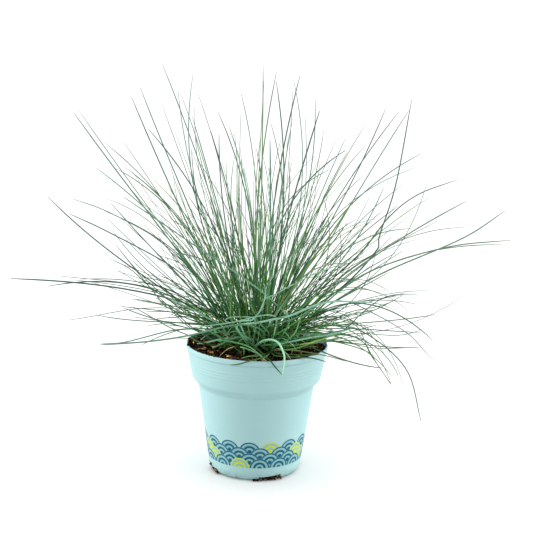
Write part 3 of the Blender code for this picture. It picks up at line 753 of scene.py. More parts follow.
def gaps(ours, others):
    """The free space between every stretch of ours and every stretch of others."""
    start, other_start = ours[:, None, 0:3], others[None, :, 0:3]
    run = ours[:, None, 3:6] - start
    other_run = others[None, :, 3:6] - other_start
    between = start - other_start
    run_run = (run * run).sum(-1)
    run_other = (run * other_run).sum(-1)
    other_other = (other_run * other_run).sum(-1)
    run_between = (run * between).sum(-1)
    other_between = (other_run * between).sum(-1)
    parallel = np.maximum(run_run * other_other - run_other ** 2, 1e-9)
    along = np.clip((run_other * other_between - other_other * run_between) / parallel, 0, 1)
    other_along = np.clip((run_other * along + other_between) / other_other, 0, 1)
    along = np.clip((run_other * other_along - run_between) / run_run, 0, 1)
    apart = between + along[..., None] * run - other_along[..., None] * other_run
    return np.sqrt((apart ** 2).sum(-1)) - ours[:, None, 6] - others[None, :, 6]


def clears_pot(points, room=0.8 * LEAF_WIDTH, soil_room=1.5):
    """Whether a leaf passes over the soil and the lip."""
    for start, end in zip(points, points[1:]):
        for share in (0.0, 0.2, 0.4, 0.6, 0.8, 1.0):
            place = start.lerp(end, share)
            radius = hypot(place.x, place.y)
            over_lip = LIP_RADIUS - 4.0 < radius < LIP_RADIUS + 1.5
            low = POT_HEIGHT if over_lip else SOIL_TOP + soil_room
            if radius < LIP_RADIUS + 1.5 and place.z < low + room:
                return False
    return True


def place_tillers():
    """The shapes of all tillers. Those that lean far stand at the crown's edge, on their own side,
    and each is tried afresh until it touches no other."""
    tips = [seen_at(row[0], row[1], row[4]) for row in LONGEST_LEAVES]
    lean = [hypot(tip.x, tip.y) / max(tip.z - SOIL_TOP, 1.0) for tip in tips]
    count = len(tips)
    placed = [None] * count
    free = standing_spots()
    taken = np.zeros((0, 7))
    for rank, number in enumerate(sorted(range(count), key=lambda each: lean[each])):
        wanted = tips[number].xy.normalized() * SPOT_RADIUS * sqrt((rank + 0.5) / count)
        near = sorted(free, key=lambda spot: (spot - wanted).length)
        for attempt in range(TRIES):
            dice = Random(number * TRIES + attempt)
            spot = near[dice.randrange(1 + min(attempt // 10, 5, len(near) - 1))]
            shape = tiller_shape(spot, LONGEST_LEAVES[number], STRAY * attempt, dice)
            ours = segments(*shape)
            clear = not len(taken) or gaps(ours, taken).min() > GAP
            lines = [leaf_points(shape[2], drift, length, LEAF_STEPS) for _, drift, length in shape[3]]
            if clear and all(clears_pot(line) for line in lines):
                break
        free.remove(spot)
        taken = np.concatenate((taken, ours))
        placed[number] = shape
    return placed


# ---------------------------------------------------------------- tillers

def blade_sizes(half_width, count, lead):
    """Half widths along a leaf: a little narrower in the sheath, then even, then a point."""
    sizes = []
    for step in range(count):
        share = step / (count - 1)
        point = 1.0 - TAPER * max(0.0, 2.0 * share - 1.0)
        point -= POINT * max(0.0, (share - POINT_FROM) / (1.0 - POINT_FROM)) ** 1.5
        root = ROOT_WIDTH + (1.0 - ROOT_WIDTH) * min(1.0, step / lead)
        sizes.append(half_width * root * point)
    return sizes


class Tiller(Strands):
    """The strands of one tiller. Each leaf comes up inside its sheath, out at the neck."""

    def __init__(self, number, foot, neck):
        super().__init__()
        self.foot = foot
        self.neck = neck
        self.heading = (neck - foot).normalized()
        self.dice = Random(TILLER_SEED + number)

    def sleeve(self):
        """The pale sheath that wraps all the leaves."""
        steps = range(SLEEVE_STEPS + 1)
        path = [self.foot.lerp(self.neck, SLEEVE_REACH * step / SLEEVE_STEPS) for step in steps]
        outwards = Vector((self.foot.x, self.foot.y, 0.01)).normalized()
        tone, hue = self.dice.uniform(0.1, 0.7), self.dice.uniform(0.4, 0.95)
        dry = self.dice.choice((0.0, 0.0, 0.0, 0.2))
        sizes = [SHEATH_RADIUS - SLEEVE_TAPER * step for step in steps]
        self.add(path, outwards, sizes, tone, hue, dry, ROUND_PROFILE)

    def grow(self, sector, points, half_width, tone=None, hue=None, wrapped=0, shown=0.0):
        """One fine leaf. The first of its points, as many as wrapped says, are still in a sheath."""
        dice = self.dice
        root, throat = self.foot + sector * ROOT_SPREAD, self.neck + sector * THROAT_SPREAD
        lead = [root.lerp(throat, share) for share in (0.0, 0.5, 1.0)]
        sizes = blade_sizes(half_width, len(lead) + len(points), len(lead))
        for step in range(len(lead) + wrapped if wrapped else 0):
            sizes[step] = max(sizes[step], WRAPPED_HALF_WIDTH - 0.01 * step)
        tone = dice.random() if tone is None else tone
        hue = dice.uniform(*HUES) if hue is None else hue
        dry = dice.uniform(*DRYNESS) if dice.random() < DRY_SHARE else 0.0
        twist = dice.uniform(-TWIST, TWIST)
        self.add(lead + points, -sector, sizes, tone, hue, dry, twist=twist, shown=shown)

    def longest(self, number, sector, bend):
        """The tiller's longest leaf, led through the places given for its outer half, if any."""
        dice = self.dice
        half_width = WIDEST.get(number + 1, dice.uniform(*LONGEST_HALF_WIDTH))
        points = bend_points(bend)
        if number + 1 in UPPER_BOWS:
            points = passing_through(bend, UPPER_BOWS[number + 1])
        self.grow(sector, points, half_width, dice.uniform(*LONGEST_TONES), dice.uniform(*LONGEST_HUES))

    def side_leaves(self, sector, controls, count, widths):
        """Shorter leaves that stray from the tiller's own bend on all sides."""
        for _ in range(count):
            turned = sector.copy()
            turned.rotate(Quaternion(self.heading, self.dice.uniform(0, tau)))
            points = side_leaf(controls, self.dice)
            if points:
                self.grow(turned, points, self.dice.uniform(*widths), self.dice.uniform(*DARK_TONES))

    def forks(self, sector, bend, count, widths):
        """Leaves that part from the longest one on their way up."""
        for _ in range(count):
            points = fork_leaf(bend, self.dice)
            if points:
                self.grow(sector, points, self.dice.uniform(*widths), self.dice.uniform(*DARK_TONES),
                          wrapped=WRAPPED)

    def skirt(self, sector, count):
        """Low leaves, which only a tiller near the crown's edge has."""
        side = atan2(self.foot.y, self.foot.x)
        for _ in range(count if hypot(self.foot.x, self.foot.y) > SKIRT_FROM else 0):
            points = skirt_leaf(self.neck, self.heading, side, self.dice)
            if points:
                half_width = self.dice.uniform(*SKIRT_HALF_WIDTH)
                # starting further along the colour's way, a skirt leaf gets less painted shade at its base
                self.grow(sector, points, half_width, self.dice.uniform(*PALE_TONES),
                          self.dice.uniform(*TEAL_HUES), shown=SKIRT_START)

    def front_leaf(self, sector, row):
        """A leaf of the front, which is drawn whole and lies over the soil and the lip."""
        half_width, tone, hue, dry = row[:4]
        line = smooth_line([self.foot] + front_corners(row), STATIONS + 3)
        path = [self.foot] + laid_over(line)
        sizes = blade_sizes(half_width, len(path), 3)
        twist = self.dice.uniform(-FRONT_TWIST, FRONT_TWIST)
        # starting further along the colour's way, a front leaf gets less painted shade at its base
        self.add(path, -sector, sizes, tone, hue, dry, twist=twist, shown=FRONT_START)


def smooth_line(corners, count):
    """Evenly spaced points on a smooth line through all corners, without the first corner."""
    ends = [corners[0] * 2 - corners[1], *corners, corners[-1] * 2 - corners[-2]]
    dense = []
    for before, start, stop, after in zip(ends, ends[1:], ends[2:], ends[3:]):
        for step in range(12):
            share = step / 12
            dense.append((start * 2 + (stop - before) * share
                          + (before * 2 - start * 5 + stop * 4 - after) * share ** 2
                          + (start * 3 - before - stop * 3 + after) * share ** 3) / 2)
    dense.append(corners[-1])
    walked = [0.0]
    for start, stop in zip(dense, dense[1:]):
        walked.append(walked[-1] + (stop - start).length)
    points, here = [], 0
    for step in range(1, count + 1):
        wanted = walked[-1] * step / count
        while here < len(dense) - 2 and walked[here + 1] < wanted:
            here += 1
        share = (wanted - walked[here]) / (walked[here + 1] - walked[here])
        points.append(dense[here].lerp(dense[here + 1], share))
    return points


def lowest_height(place):
    """How low a leaf may lie at this place: on the soil, or on the lip."""
    radius = hypot(place.x, place.y)
    if radius > LIP_RADIUS + 2.0:
        return 0.0
    if radius > LIP_RADIUS - 5.0:
        return POT_HEIGHT + LEAF_ROOM
    return SOIL_TOP + ON_SOIL


def laid_over(points):
    """The same leaf, lifted where it would go into the soil or the lip."""
    points = [point.copy() for point in points]
    for _ in range(3):
        for point in points:
            point.z = max(point.z, lowest_height(point))
        heights = [point.z for point in points]
        for number in range(1, len(points) - 1):
            points[number].z = (heights[number - 1] + 2 * heights[number] + heights[number + 1]) / 4
    for point in points:
        point.z = max(point.z, lowest_height(point))
    return points


def inside_box(points):
    """Whether a leaf stays within the part's own box."""
    low, high = (Vector(corner) / MM for corner in cad_box)
    return all(low[axis] <= point[axis] <= high[axis] for point in points for axis in range(3))


def wavered(points, dice, most):
    """The same leaf with a slight sideways waver that grows towards its tip."""
    ahead = (points[-1] - points[0]).normalized()
    side = ahead.orthogonal().normalized()
    side.rotate(Quaternion(ahead, dice.uniform(0, tau)))
    waves, phase = dice.uniform(0.6, 1.6), dice.uniform(0, tau)
    amount = dice.uniform(0.2, 1.0) * most
    last = len(points)
    found = []
    for step, point in enumerate(points):
        share = (step + 1) / last
        found.append(point + side * (amount * share * (sin(waves * tau * share + phase) - sin(phase))))
    return found


def bowed(points, sector, most):
    """The same leaf, bowed out of its bundle in its middle."""
    return [point + sector * (most * sin(pi * (step + 1) / len(points))) for step, point in enumerate(points)]


def fits(points):
    """Whether a fine leaf clears the soil and the lip and stays within the part's own box."""
    return clears_pot(points, LEAF_ROOM, BUMP_ROOM) and inside_box(points)


def past_rim(point):
    """Whether a point lies over the lip or outside the pot."""
    return hypot(point.x, point.y) > LIP_RADIUS - RIM_BAND


def hangs(points):
    """Whether a leaf hangs lower than the lip, outside the pot."""
    return any(point.z < POT_HEIGHT + HANG_ROOM and past_rim(point) for point in points)


def side_leaf(controls, dice):
    """A shorter leaf of the same tiller: its bend turned about the neck, drooping more."""
    neck = controls[0]
    for _ in range(TRIES_PER_LEAF):
        size = SIDE_SMALLEST + SIDE_SPREAD * dice.random() ** 1.5
        wide = SIDE_TILTS[0] if dice.random() < SIDE_CLOSE else SIDE_TILTS[1]
        tilt = Euler([radians(dice.gauss(0, wide)) for _ in range(3)])
        bend = []
        for number, control in enumerate(controls):
            arm = (control - neck) * size
            arm.rotate(tilt)
            droop = dice.uniform(0.0, SIDE_DROOP) * size * (number / 3) ** 2
            bend.append(neck + arm - Vector((0.0, 0.0, droop)))
        points = wavered(bend_points(bend), dice, SIDE_WAVER * size)
        if fits(points) and not hangs(points):
            return points
    return None


def fork_leaf(controls, dice):
    """A leaf that parts from the tiller's longest leaf part of the way up, where it was wrapped."""
    free = STATIONS - WRAPPED
    for _ in range(TRIES_PER_LEAF):
        parting = dice.uniform(*FORK_AT)
        points = [along_bend(controls, parting * step / WRAPPED) for step in range(1, WRAPPED + 1)]
        ahead = (points[-1] - points[-2]).normalized()
        axis = ahead.orthogonal().normalized()
        axis.rotate(Quaternion(ahead, dice.uniform(0, tau)))
        length = dice.uniform(*FORK_LENGTH) * (controls[3] - controls[0]).length
        ahead.rotate(Quaternion(axis, radians(dice.uniform(*FORK_TURN))))
        bend = Quaternion(axis, radians(dice.uniform(*FORK_BEND)) / free)
        for _ in range(free):
            ahead.rotate(bend)
            points.append(points[-1] + ahead * (length / free))
        if fits(points):
            return points
    return None


def bend_through(neck, heading, bow, tip, hold):
    """The cubic bend that leaves neck partly along heading and passes exactly through bow."""
    first = bend_controls(neck, heading, bow, tip, hold)[1]
    share = bow_share(neck, bow, tip)
    rest = 1.0 - share
    second = bow - neck * rest ** 3 - first * (3 * rest * rest * share) - tip * share ** 3
    return neck, first, second / (3 * rest * share ** 2), tip


def skirt_leaf(neck, heading, turn, dice):
    """A low leaf: towards the viewer it is short and arches over the soil, and elsewhere it either
    arches and droops past the lip, or lies low at first and then rises."""
    to_viewer = abs(turn + pi / 2) < FRONT_SECTOR
    rising = not to_viewer and dice.random() < (RISING_LEFT if cos(turn) < 0.2 else RISING_RIGHT)
    for _ in range(TRIES_PER_LEAF):
        length = dice.uniform(*(SKIRT_NEAR if to_viewer else SKIRT_FAR))
        out = Vector((*polar(1.0, turn + radians(dice.gauss(0, SKIRT_STRAY))), 0.0))
        up = Vector((0.0, 0.0, 1.0))
        if rising:
            slope = radians(dice.uniform(*SKIRT_SLOPES))
            bend = [neck, neck + heading * 4.0 + out * 10.0,
                    neck + out * (0.42 * length) + up * dice.uniform(-5.0, 3.0),
                    neck + out * (1.15 * length * cos(slope)) + up * (1.15 * length * sin(slope))]
        else:
            bend = [neck, neck + heading * (0.22 * length) + out * (0.12 * length),
                    neck + out * (0.62 * length) + up * (dice.uniform(0.05, 0.34) * length),
                    neck + out * length - up * (dice.uniform(-0.12, 0.16) * length)]
        points = wavered(bend_points(bend), dice, SKIRT_WAVER)
        over_front = any(point.y < FRONT_LINE and past_rim(point) for point in points)
        if fits(points) and not over_front:
            return points
    return None


def nearest(places, wanted):
    """The number of the place that is nearest to the wanted one."""
    return min(range(len(places)), key=lambda number: (places[number] - wanted).length)


def front_corners(row):
    """The points in space that one of the front leaves passes."""
    *_, start_depth, tip_depth, seen = row
    last = len(seen) - 1
    return [seen_at(across, up, start_depth + (tip_depth - start_depth) * number / last)
            for number, (across, up) in enumerate(seen)]


def seen_bend(neck, heading, row, depth):
    """The bend of a leaf that ends and bows just where its row says, with its tip at this depth."""
    across, up, bow_across, bow_up = row[:4]
    tip = seen_at(across, up, depth)
    bow = seen_at(bow_across, bow_up, (depth + neck.y) / 2)
    return bend_through(neck, heading, bow, tip, 0.1)


def passing_through(bend, seen):
    """Points along a bend whose outer half is led through these places, as seen from the eye."""
    middle_depth = along_bend(bend, 0.5).y
    tip_depth = bend[3].y
    outer = []
    for number, place in enumerate(seen, 1):
        outer.append(seen_at(*place, middle_depth + (tip_depth - middle_depth) * number / (len(seen) + 1)))
    return smooth_line([bend[0], along_bend(bend, 0.25), along_bend(bend, 0.45), *outer, bend[3]], STATIONS)


def make_tiller(number, shape, more, front, finish):
    """One tiller: its sleeve, its long leaves, shorter ones, forks, and any drawn singly."""
    foot, neck, controls, leaves = shape
    tiller = Tiller(number, foot, neck)
    dice = tiller.dice
    tiller.sleeve()
    sector = leaves[0][0]
    row = LONGEST_LEAVES[number]
    bend = seen_bend(neck, tiller.heading, row, controls[3].y)
    low = row[1] - POT_HEIGHT < LOW_SLOPE * abs(row[0])
    widths = LOW_HALF_WIDTH if low else BLADE_HALF_WIDTH
    tiller.longest(number, sector, bend)
    for other_sector, drift, length in leaves[1:]:
        if number + 1 in CLOSE_LEAVES:
            line = leaf_points(bend, drift * CLOSE_DRIFT, length, STATIONS)
        else:
            line = leaf_points(controls, drift, length, STATIONS)
        points = bowed(wavered(line, dice, WAVER), other_sector, dice.uniform(*BOW_OUT))
        tiller.grow(other_sector, points, dice.uniform(*widths))
    tiller.side_leaves(sector, controls, LOW_MORE if low else MORE_PER_TILLER, widths)
    tiller.forks(sector, bend, LOW_FORKS if low else FORKS_PER_TILLER, widths)
    tiller.skirt(sector, LOW_SKIRT if low else SKIRT_PER_TILLER)
    for row in more:
        points = bend_points(seen_bend(neck, tiller.heading, row, row[4]))
        tiller.grow(sector, points, dice.uniform(*MORE_HALF_WIDTH), dice.uniform(*MORE_TONES))
    for row in front:
        tiller.front_leaf(sector, row)
    name = f"tiller_{number + 1:02d}"
    tiller.make(name + "_leaves", finish, "leaf", name)


def make_tillers(finish):
    """All tillers. A leaf that is drawn singly belongs to the tiller that stands or ends nearest."""
    tillers = place_tillers()
    necks = [neck for _, neck, _, _ in tillers]
    tips = [controls[3] for _, _, controls, _ in tillers]
    more = [[] for _ in tillers]
    front = [[] for _ in tillers]
    for row in MORE_LEAVES:
        more[nearest(tips, seen_at(row[0], row[1], row[4]))].append(row)
    for row in FRONT_LEAVES:
        front[nearest(necks, front_corners(row)[0])].append(row)
    for number, shape in enumerate(tillers):
        make_tiller(number, shape, more[number], front[number], finish)


# ---------------------------------------------------------------- crown and soil

def dome_height(x, y):
    """The height of the crown's own rounded top."""
    return CROWN_BALL_Z + sqrt(max(CROWN_BALL ** 2 - x * x - y * y, 0.0))


def make_old_sheaths(finish):
    """Old sheaths and stubs that stand thick between the tillers, leaning out towards the edge."""
    dice = Random(SHEATH_SEED)
    strands = Strands()
    for number in range(OLD_SHEATHS):
        radius = (CROWN_RADIUS - 1.0) * sqrt((number + 0.5) / OLD_SHEATHS)
        share = radius / CROWN_RADIUS
        turn = number * GOLDEN_TURN + dice.uniform(-0.2, 0.2)
        x, y = polar(radius, turn)
        foot = Vector((x, y, dome_height(x, y) - DOME_SINK))
        out = Vector((*polar(1.0, turn), 0.0))
        lean = radians(8 + 52 * share ** 1.5 + dice.uniform(-10, 14))
        heading = Vector((0, 0, 1)) * cos(lean) + out * sin(lean)
        heading.rotate(Euler((0, 0, dice.uniform(-0.5, 0.5))))
        length = dice.uniform(5.0, 15.0) * (1.0 - 0.35 * share)
        sag = Vector((0, 0, dice.uniform(0.0, 3.0) * share))
        path = [foot + heading * (length * step / 6) - sag * (step / 6) ** 2 for step in range(7)]
        width = dice.uniform(0.4, 0.9)
        sizes = [width * (1.0 - 0.75 * (step / 6) ** 1.5) for step in range(7)]
        tone, hue = dice.uniform(0.0, 0.8), dice.uniform(0.35, 0.95)
        strands.add(path, -out, sizes, tone, hue, dice.choice((0.0, 0.0, 0.0, 0.0, 0.1, 0.3, 0.7)))
    strands.make("crown_sheaths", finish, "crown", "crown")


def make_dome(finish):
    """The crown's earthy dome, on a flat base."""
    rings, sides = 16, 72
    points = []
    for ring in range(rings + 1):
        for side in range(sides):
            x, y = polar((CROWN_RADIUS - 0.2) * ring / rings, side * tau / sides)
            rough = 0.8 * noise.noise(Vector((x, y, 0.0)) * 0.35) + 0.5 * noise.noise(Vector((x, y, 3.0)))
            points.append((x, y, dome_height(x, y) + rough - DOME_SINK))
    points += [(x, y, CROWN_BASE_Z) for x, y, _ in points[-sides:]]
    faces = tube_faces(0, rings + 2, sides, pointed=True)
    add_mesh("crown_dome", points, faces, finish, {"tone": [0.3] * len(points)}, "crown")


def taper(low, high, height):
    """The radius at a height on the straight line between two (radius, height) points."""
    share = (height - low[1]) / (high[1] - low[1])
    return low[0] + share * (high[0] - low[0])


def collar(height):
    """The collar's outer radius at a height."""
    return taper((COLLAR_FOOT_RADIUS, COLLAR_FOOT_Z), (LIP_RADIUS, POT_HEIGHT), height)


def body(height):
    """The body's outer radius at a height."""
    return taper((FOOT_RADIUS, 0.0), (BODY_TOP_RADIUS, BODY_TOP_Z), height)


SOIL_EDGE = collar(SOIL_TOP) - WALL - 0.15


def soil_height(x, y):
    """The bumpy top of the soil, which climbs a little towards the wall, most at both sides."""
    place = Vector((x, y, 0.0))
    outwards = min(max((hypot(x, y) - HEAP_FROM) / HEAP_WIDTH, 0.0), 1.0)
    left = max(0.0, cos(atan2(y, x) - LEFT_TURN)) ** 3
    right = max(0.0, cos(atan2(y, x) - RIGHT_TURN)) ** 6
    heap = outwards ** 2 * (HEAP + LEFT_HEAP * left + RIGHT_HEAP * right)
    return SOIL_TOP + heap + 0.9 * noise.noise(place * 0.12) + 0.8 * noise.noise(place * 0.45)


def make_soil_bed(finish):
    """The root ball: a rough top, and its side and bottom where the drain slots show them."""
    rings, sides = 40, 144
    points = []
    for ring in range(rings + 1):
        radius = SOIL_EDGE * ring / rings
        for side in range(sides):
            x, y = polar(radius, side * tau / sides)
            bare = radius > CROWN_RADIUS + 0.5
            points.append((x, y, soil_height(x, y) if bare else SOIL_TOP - CROWN_SINK - 0.4))
    tones = [0.3] * len(points)
    outline = [(collar(96.0), 96.0), (COLLAR_FOOT_RADIUS, COLLAR_FOOT_Z), (BODY_TOP_RADIUS, BODY_TOP_Z)]
    outline += [(body(height), height) for height in (30.0, 8.0, 4.0)]
    outline += [(FOOT_RADIUS - 2.4, 1.6), (0.5, 1.4)]
    for radius, height in outline:
        for side in range(sides):
            turn = side * tau / sides
            rough = 0.25 * noise.noise(Vector((*polar(radius, turn), height)) * 0.6)
            reach = max(radius - CAD_WALL - 0.3 + rough - (1.2 if height < 9.0 else 0.0), 0.3)
            points.append((*polar(reach, turn), height))
    tones += [0.4] * (len(points) - len(tones))
    faces = tube_faces(0, rings + 1 + len(outline), sides, pointed=True)
    add_mesh("soil_bed", points, faces, finish, {"tone": tones}, "potting_soil")


def lump_template():
    """A small round lump as arrays of points and triangles."""
    ball = bmesh.new()
    bmesh.ops.create_icosphere(ball, subdivisions=2, radius=1.0)
    points = np.array([point.co for point in ball.verts])
    faces = [tuple(point.index for point in face.verts) for face in ball.faces]
    ball.free()
    return points, faces


def scatter_lumps(name, count, finish, size_of, place_of, rough, most_tilt=0.5):
    """Many irregular lumps in one mesh, each with its own size, turn and knobbly surface."""
    dice = np.random.default_rng(LUMP_SEEDS[name])
    ball, triangles = lump_template()
    points, faces, tones = [], [], []
    for number in range(count):
        size = np.array(size_of(dice))
        knobs = 1.0 + rough * dice.uniform(-1.0, 1.0, (len(ball), 1))
        lump = ball * knobs * size
        where = np.array(place_of(dice, size))
        tilts = dice.uniform(-most_tilt, most_tilt), dice.uniform(-most_tilt, most_tilt)
        turn = Euler((*tilts, dice.uniform(0, tau)))
        points.append(lump @ np.array(turn.to_matrix()).T + where)
        first = number * len(ball)
        faces.extend(tuple(first + corner for corner in face) for face in triangles)
        tones.extend([dice.random()] * len(ball))
    add_mesh(name, np.concatenate(points), faces, finish, {"tone": tones})


def uneven(smallest, spread, power, wide, thick):
    """A rule for the sizes of lumps whose width and thickness vary as shares of their length."""
    def size_of(dice):
        length = smallest + spread * dice.random() ** power
        return length, length * dice.uniform(*wide), length * dice.uniform(*thick)
    return size_of


def alike(smallest, largest, wide, thick):
    """A rule for the sizes of lumps whose width and thickness are fixed shares of their length."""
    def size_of(dice):
        length = dice.uniform(smallest, largest)
        return length, length * wide, length * thick
    return size_of


def open_soil_place(dice, size):
    """A place on the soil, or on the foot of the crown, clear of the pot's wall."""
    inner, outer = CROWN_RADIUS - 6.0, SOIL_EDGE - float(max(size))
    radius = sqrt(dice.uniform(inner ** 2, outer ** 2))
    x, y = polar(radius, dice.uniform(0, tau))
    ground = soil_height(x, y)
    if radius < CROWN_RADIUS:
        ground = max(ground, dome_height(x, y) - DOME_SINK)
    return x, y, ground + float(min(size)) * dice.uniform(0.1, 0.7)


def lip_place(dice, size):
    """A place on top of the lip, at the left."""
    turn = radians(dice.uniform(165.0, 235.0))
    return *polar(LIP_RADIUS - dice.uniform(0.4, 1.4), turn), POT_HEIGHT + 0.5 * float(min(size))


def wall_place(dice, size):
    """A place on the inside of the wall, over the soil at the left."""
    turn = radians(dice.uniform(135.0, 215.0))
    height = SOIL_TOP + dice.uniform(2.5, 6.0)
    return *polar(collar(height) - WALL - 0.6 * float(max(size)), turn), height


def make_crumbs(peat, bark, ochre):
    """What lies on the soil, the lip and the wall."""
    def chip_size(dice):
        length = 0.9 + 2.1 * dice.random() ** 1.3
        return length, length * dice.uniform(0.35, 0.75), dice.uniform(0.4, 0.9)

    def lump_size(dice):
        length = next(lengths)
        return length, length * 0.8, length * 0.7

    def lump_place(dice, size):
        x, y, length = next(lumps)
        return x, y, soil_height(x, y) + 0.5 * length

    lengths = (length for _, _, length in WOOD_LUMPS)
    lumps = iter(WOOD_LUMPS)
    crumb_size = uneven(0.5, 1.9, 2.2, (0.65, 1.0), (0.5, 0.9))
    bit_size = uneven(0.7, 1.0, 1.0, (0.6, 0.9), (0.5, 0.8))
    stuck_size = alike(0.35, 1.0, 0.8, 0.7)
    scatter_lumps("soil_crumbs", CRUMBS, peat, crumb_size, open_soil_place, 0.22)
    scatter_lumps("bark_chips", BARK_CHIPS, bark, chip_size, open_soil_place, 0.18)
    scatter_lumps("wood_bits", WOOD_BITS, ochre, bit_size, open_soil_place, 0.12)
    scatter_lumps("wood_lumps", len(WOOD_LUMPS), ochre, lump_size, lump_place, 0.14)
    scatter_lumps("lip_crumbs", LIP_CRUMBS, peat, stuck_size, lip_place, 0.2)
    scatter_lumps("wall_crumbs", WALL_CRUMBS, peat, stuck_size, wall_place, 0.2)


def slot_place(dice, sides, outs, lowest):
    """A place in one of the drain slots: along the slot, outwards and up."""
    turn = DRAIN_TURN + dice.integers(DRAIN_COUNT) * tau / DRAIN_COUNT
    side = dice.uniform(*sides) * DRAIN_WIDTH
    out = FOOT_RADIUS - DRAIN_DEPTH + dice.uniform(*outs)
    height = dice.uniform(lowest, DRAIN_HEIGHT + DRAIN_SLOPE * side)
    return out * cos(turn) - side * sin(turn), out * sin(turn) + side * cos(turn), height


def drain_place(dice, size):
    """A place in a slot, or now and then on the floor in front, always clear of the floor."""
    if dice.random() < 0.04:
        return dice.uniform(-1.0, 3.5), dice.uniform(-38.0, -35.5), float(max(size))
    x, y, height = slot_place(dice, (-0.5, 0.5), (-1.0, 3.6), 0.8)
    return x, y, max(height, 1.25 * float(max(size)) + 0.05)


def bark_place(dice, size):
    """A place at one end of a slot."""
    return slot_place(dice, (0.0, 0.5), (1.0, 4.0), 2.2)


def stuck_place(dice, size):
    """A place on the rounded foot, over the left slot."""
    turn = radians(dice.uniform(-168.0, -156.0))
    height = dice.uniform(3.5, 8.2)
    flat = FOOT_RADIUS - FOOT_TUCK
    reach = body(FOOT_TUCK_Z) - flat
    return *polar(flat + reach * sqrt(1.0 - (1.0 - height / FOOT_TUCK_Z) ** 2), turn), height


def make_drain_soil(peat, khaki):
    """Ragged soil that hangs out of the drain slots, a little dropped in front, and some stuck to the
    foot. One end of each slot shows paler bark."""
    size = uneven(0.5, 1.0, 1.5, (0.6, 0.9), (0.5, 0.8))
    scatter_lumps("drain_crumbs", DRAIN_CRUMBS, peat, size, drain_place, 0.25, 0.8)
    scatter_lumps("drain_bark", DRAIN_BARK, khaki, size, bark_place, 0.25, 0.8)
    scatter_lumps("stuck_soil", STUCK_CRUMBS, peat, alike(0.3, 0.75, 0.7, 0.6), stuck_place, 0.25)


def make_fibres(finish):
    """Thin roots and bits of straw lying on the soil."""
    dice = Random(FIBRE_SEED)
    strands = Strands()
    for _ in range(FIBRES):
        radius = sqrt(dice.uniform((CROWN_RADIUS + 3) ** 2, (SOIL_EDGE - 6) ** 2))
        middle = Vector(polar(radius, dice.uniform(0, tau)))
        heading = dice.uniform(0, tau)
        length = dice.uniform(3.0, 10.0)
        bend = dice.uniform(-0.9, 0.9)
        path = []
        for step in range(8):
            x, y = middle + Vector(polar(length * (step / 7 - 0.5), heading + bend * step / 7))
            scale = min(1.0, (SOIL_EDGE - 1.0) / hypot(x, y))
            x, y = x * scale, y * scale
            path.append(Vector((x, y, soil_height(x, y) + 0.9 + 0.5 * sin(pi * step / 7))))
        width = dice.uniform(0.12, 0.35)
        strands.add(path, Vector((0, 0, 1)), [width] * 8, dice.random(), 0.5, dice.uniform(0.7, 1.0))
    strands.make("soil_fibres", finish, "soil")


# ---------------------------------------------------------------- pot

def arc(centre, radius, start, stop, steps):
    """Points of an arc in the (radius, height) plane, angles in degrees."""
    turns = [radians(start + (stop - start) * step / steps) for step in range(steps + 1)]
    return [(centre[0] + radius * cos(turn), centre[1] + radius * sin(turn)) for turn in turns]


def step_curve(inset):
    """The bevelled step from the body out to the collar, moved inwards by inset."""
    out = COLLAR_FOOT_RADIUS - BODY_TOP_RADIUS
    rise = COLLAR_FOOT_Z - BODY_TOP_Z
    bevel = ((-0.02, -0.12), (0.0, 0.0), (0.05, 0.09), (0.16, 0.20), (0.5, 0.51), (0.82, 0.80), (0.93, 0.91),
             (1.0, 1.04), (1.03, 1.2))
    return [(BODY_TOP_RADIUS + out * across - inset, BODY_TOP_Z + rise * up + 0.3 * inset)
            for across, up in bevel]


def foot_curve(inset):
    """The rounded foot, from the base out to the wall, moved inwards by inset."""
    flat = FOOT_RADIUS - FOOT_TUCK
    reach = body(FOOT_TUCK_Z) - flat - inset
    rise = FOOT_TUCK_Z - inset
    return [(flat + reach * sin(turn), inset + rise * (1.0 - cos(turn)))
            for turn in (step * pi / 24 for step in range(13))]


def upright(radius_at, heights, inset=0.0):
    """Points of the wall at these heights, moved inwards by inset."""
    return [(radius_at(height) - inset, height) for height in heights]


def pot_outline():
    """The pot's section from the middle of the base, up the outside and down the inside."""
    lip_foot = POT_HEIGHT - LIP_HEIGHT
    outside = [(0.0, 0.0), (20.0, 0.0)] + foot_curve(0.0)
    outside += upright(body, (16.0, 28.0, 44.0, 60.0, 70.0, 73.0)) + step_curve(0.0)
    outside += upright(collar, (84.0, 87.0, 90.0))
    for ridge in RIDGES:
        for offset, rise in ((-0.55, 0.0), (-0.25, 0.7), (0.0, 1.0), (0.25, 0.7), (0.55, 0.0)):
            outside.append((collar(ridge + offset) + RIDGE_SIZE * rise, ridge + offset))
    outside += upright(collar, (99.5, 103.0, lip_foot - 1.3))
    outside += [(collar(lip_foot) - LIP_GROOVE, lip_foot + offset) for offset in (-0.8, -0.2)]
    outside += arc((LIP_RADIUS - 0.9, lip_foot + 0.9), 0.9, -80, 0, 4)
    outside += arc((LIP_RADIUS - 1.0, POT_HEIGHT - 1.0), 1.0, 0, 90, 5)
    inner_lip = collar(POT_HEIGHT) - WALL
    inside = [(inner_lip - 0.1, POT_HEIGHT - 0.1), (inner_lip - 0.25, POT_HEIGHT - 0.8)]
    inside += upright(collar, (106.0, 100.0, 90.0), WALL) + step_curve(WALL)[::-1]
    inside += upright(body, (40.0,), WALL) + foot_curve(WALL)[::-1]
    return outside + inside + [(20.0, WALL), (0.0, WALL)]


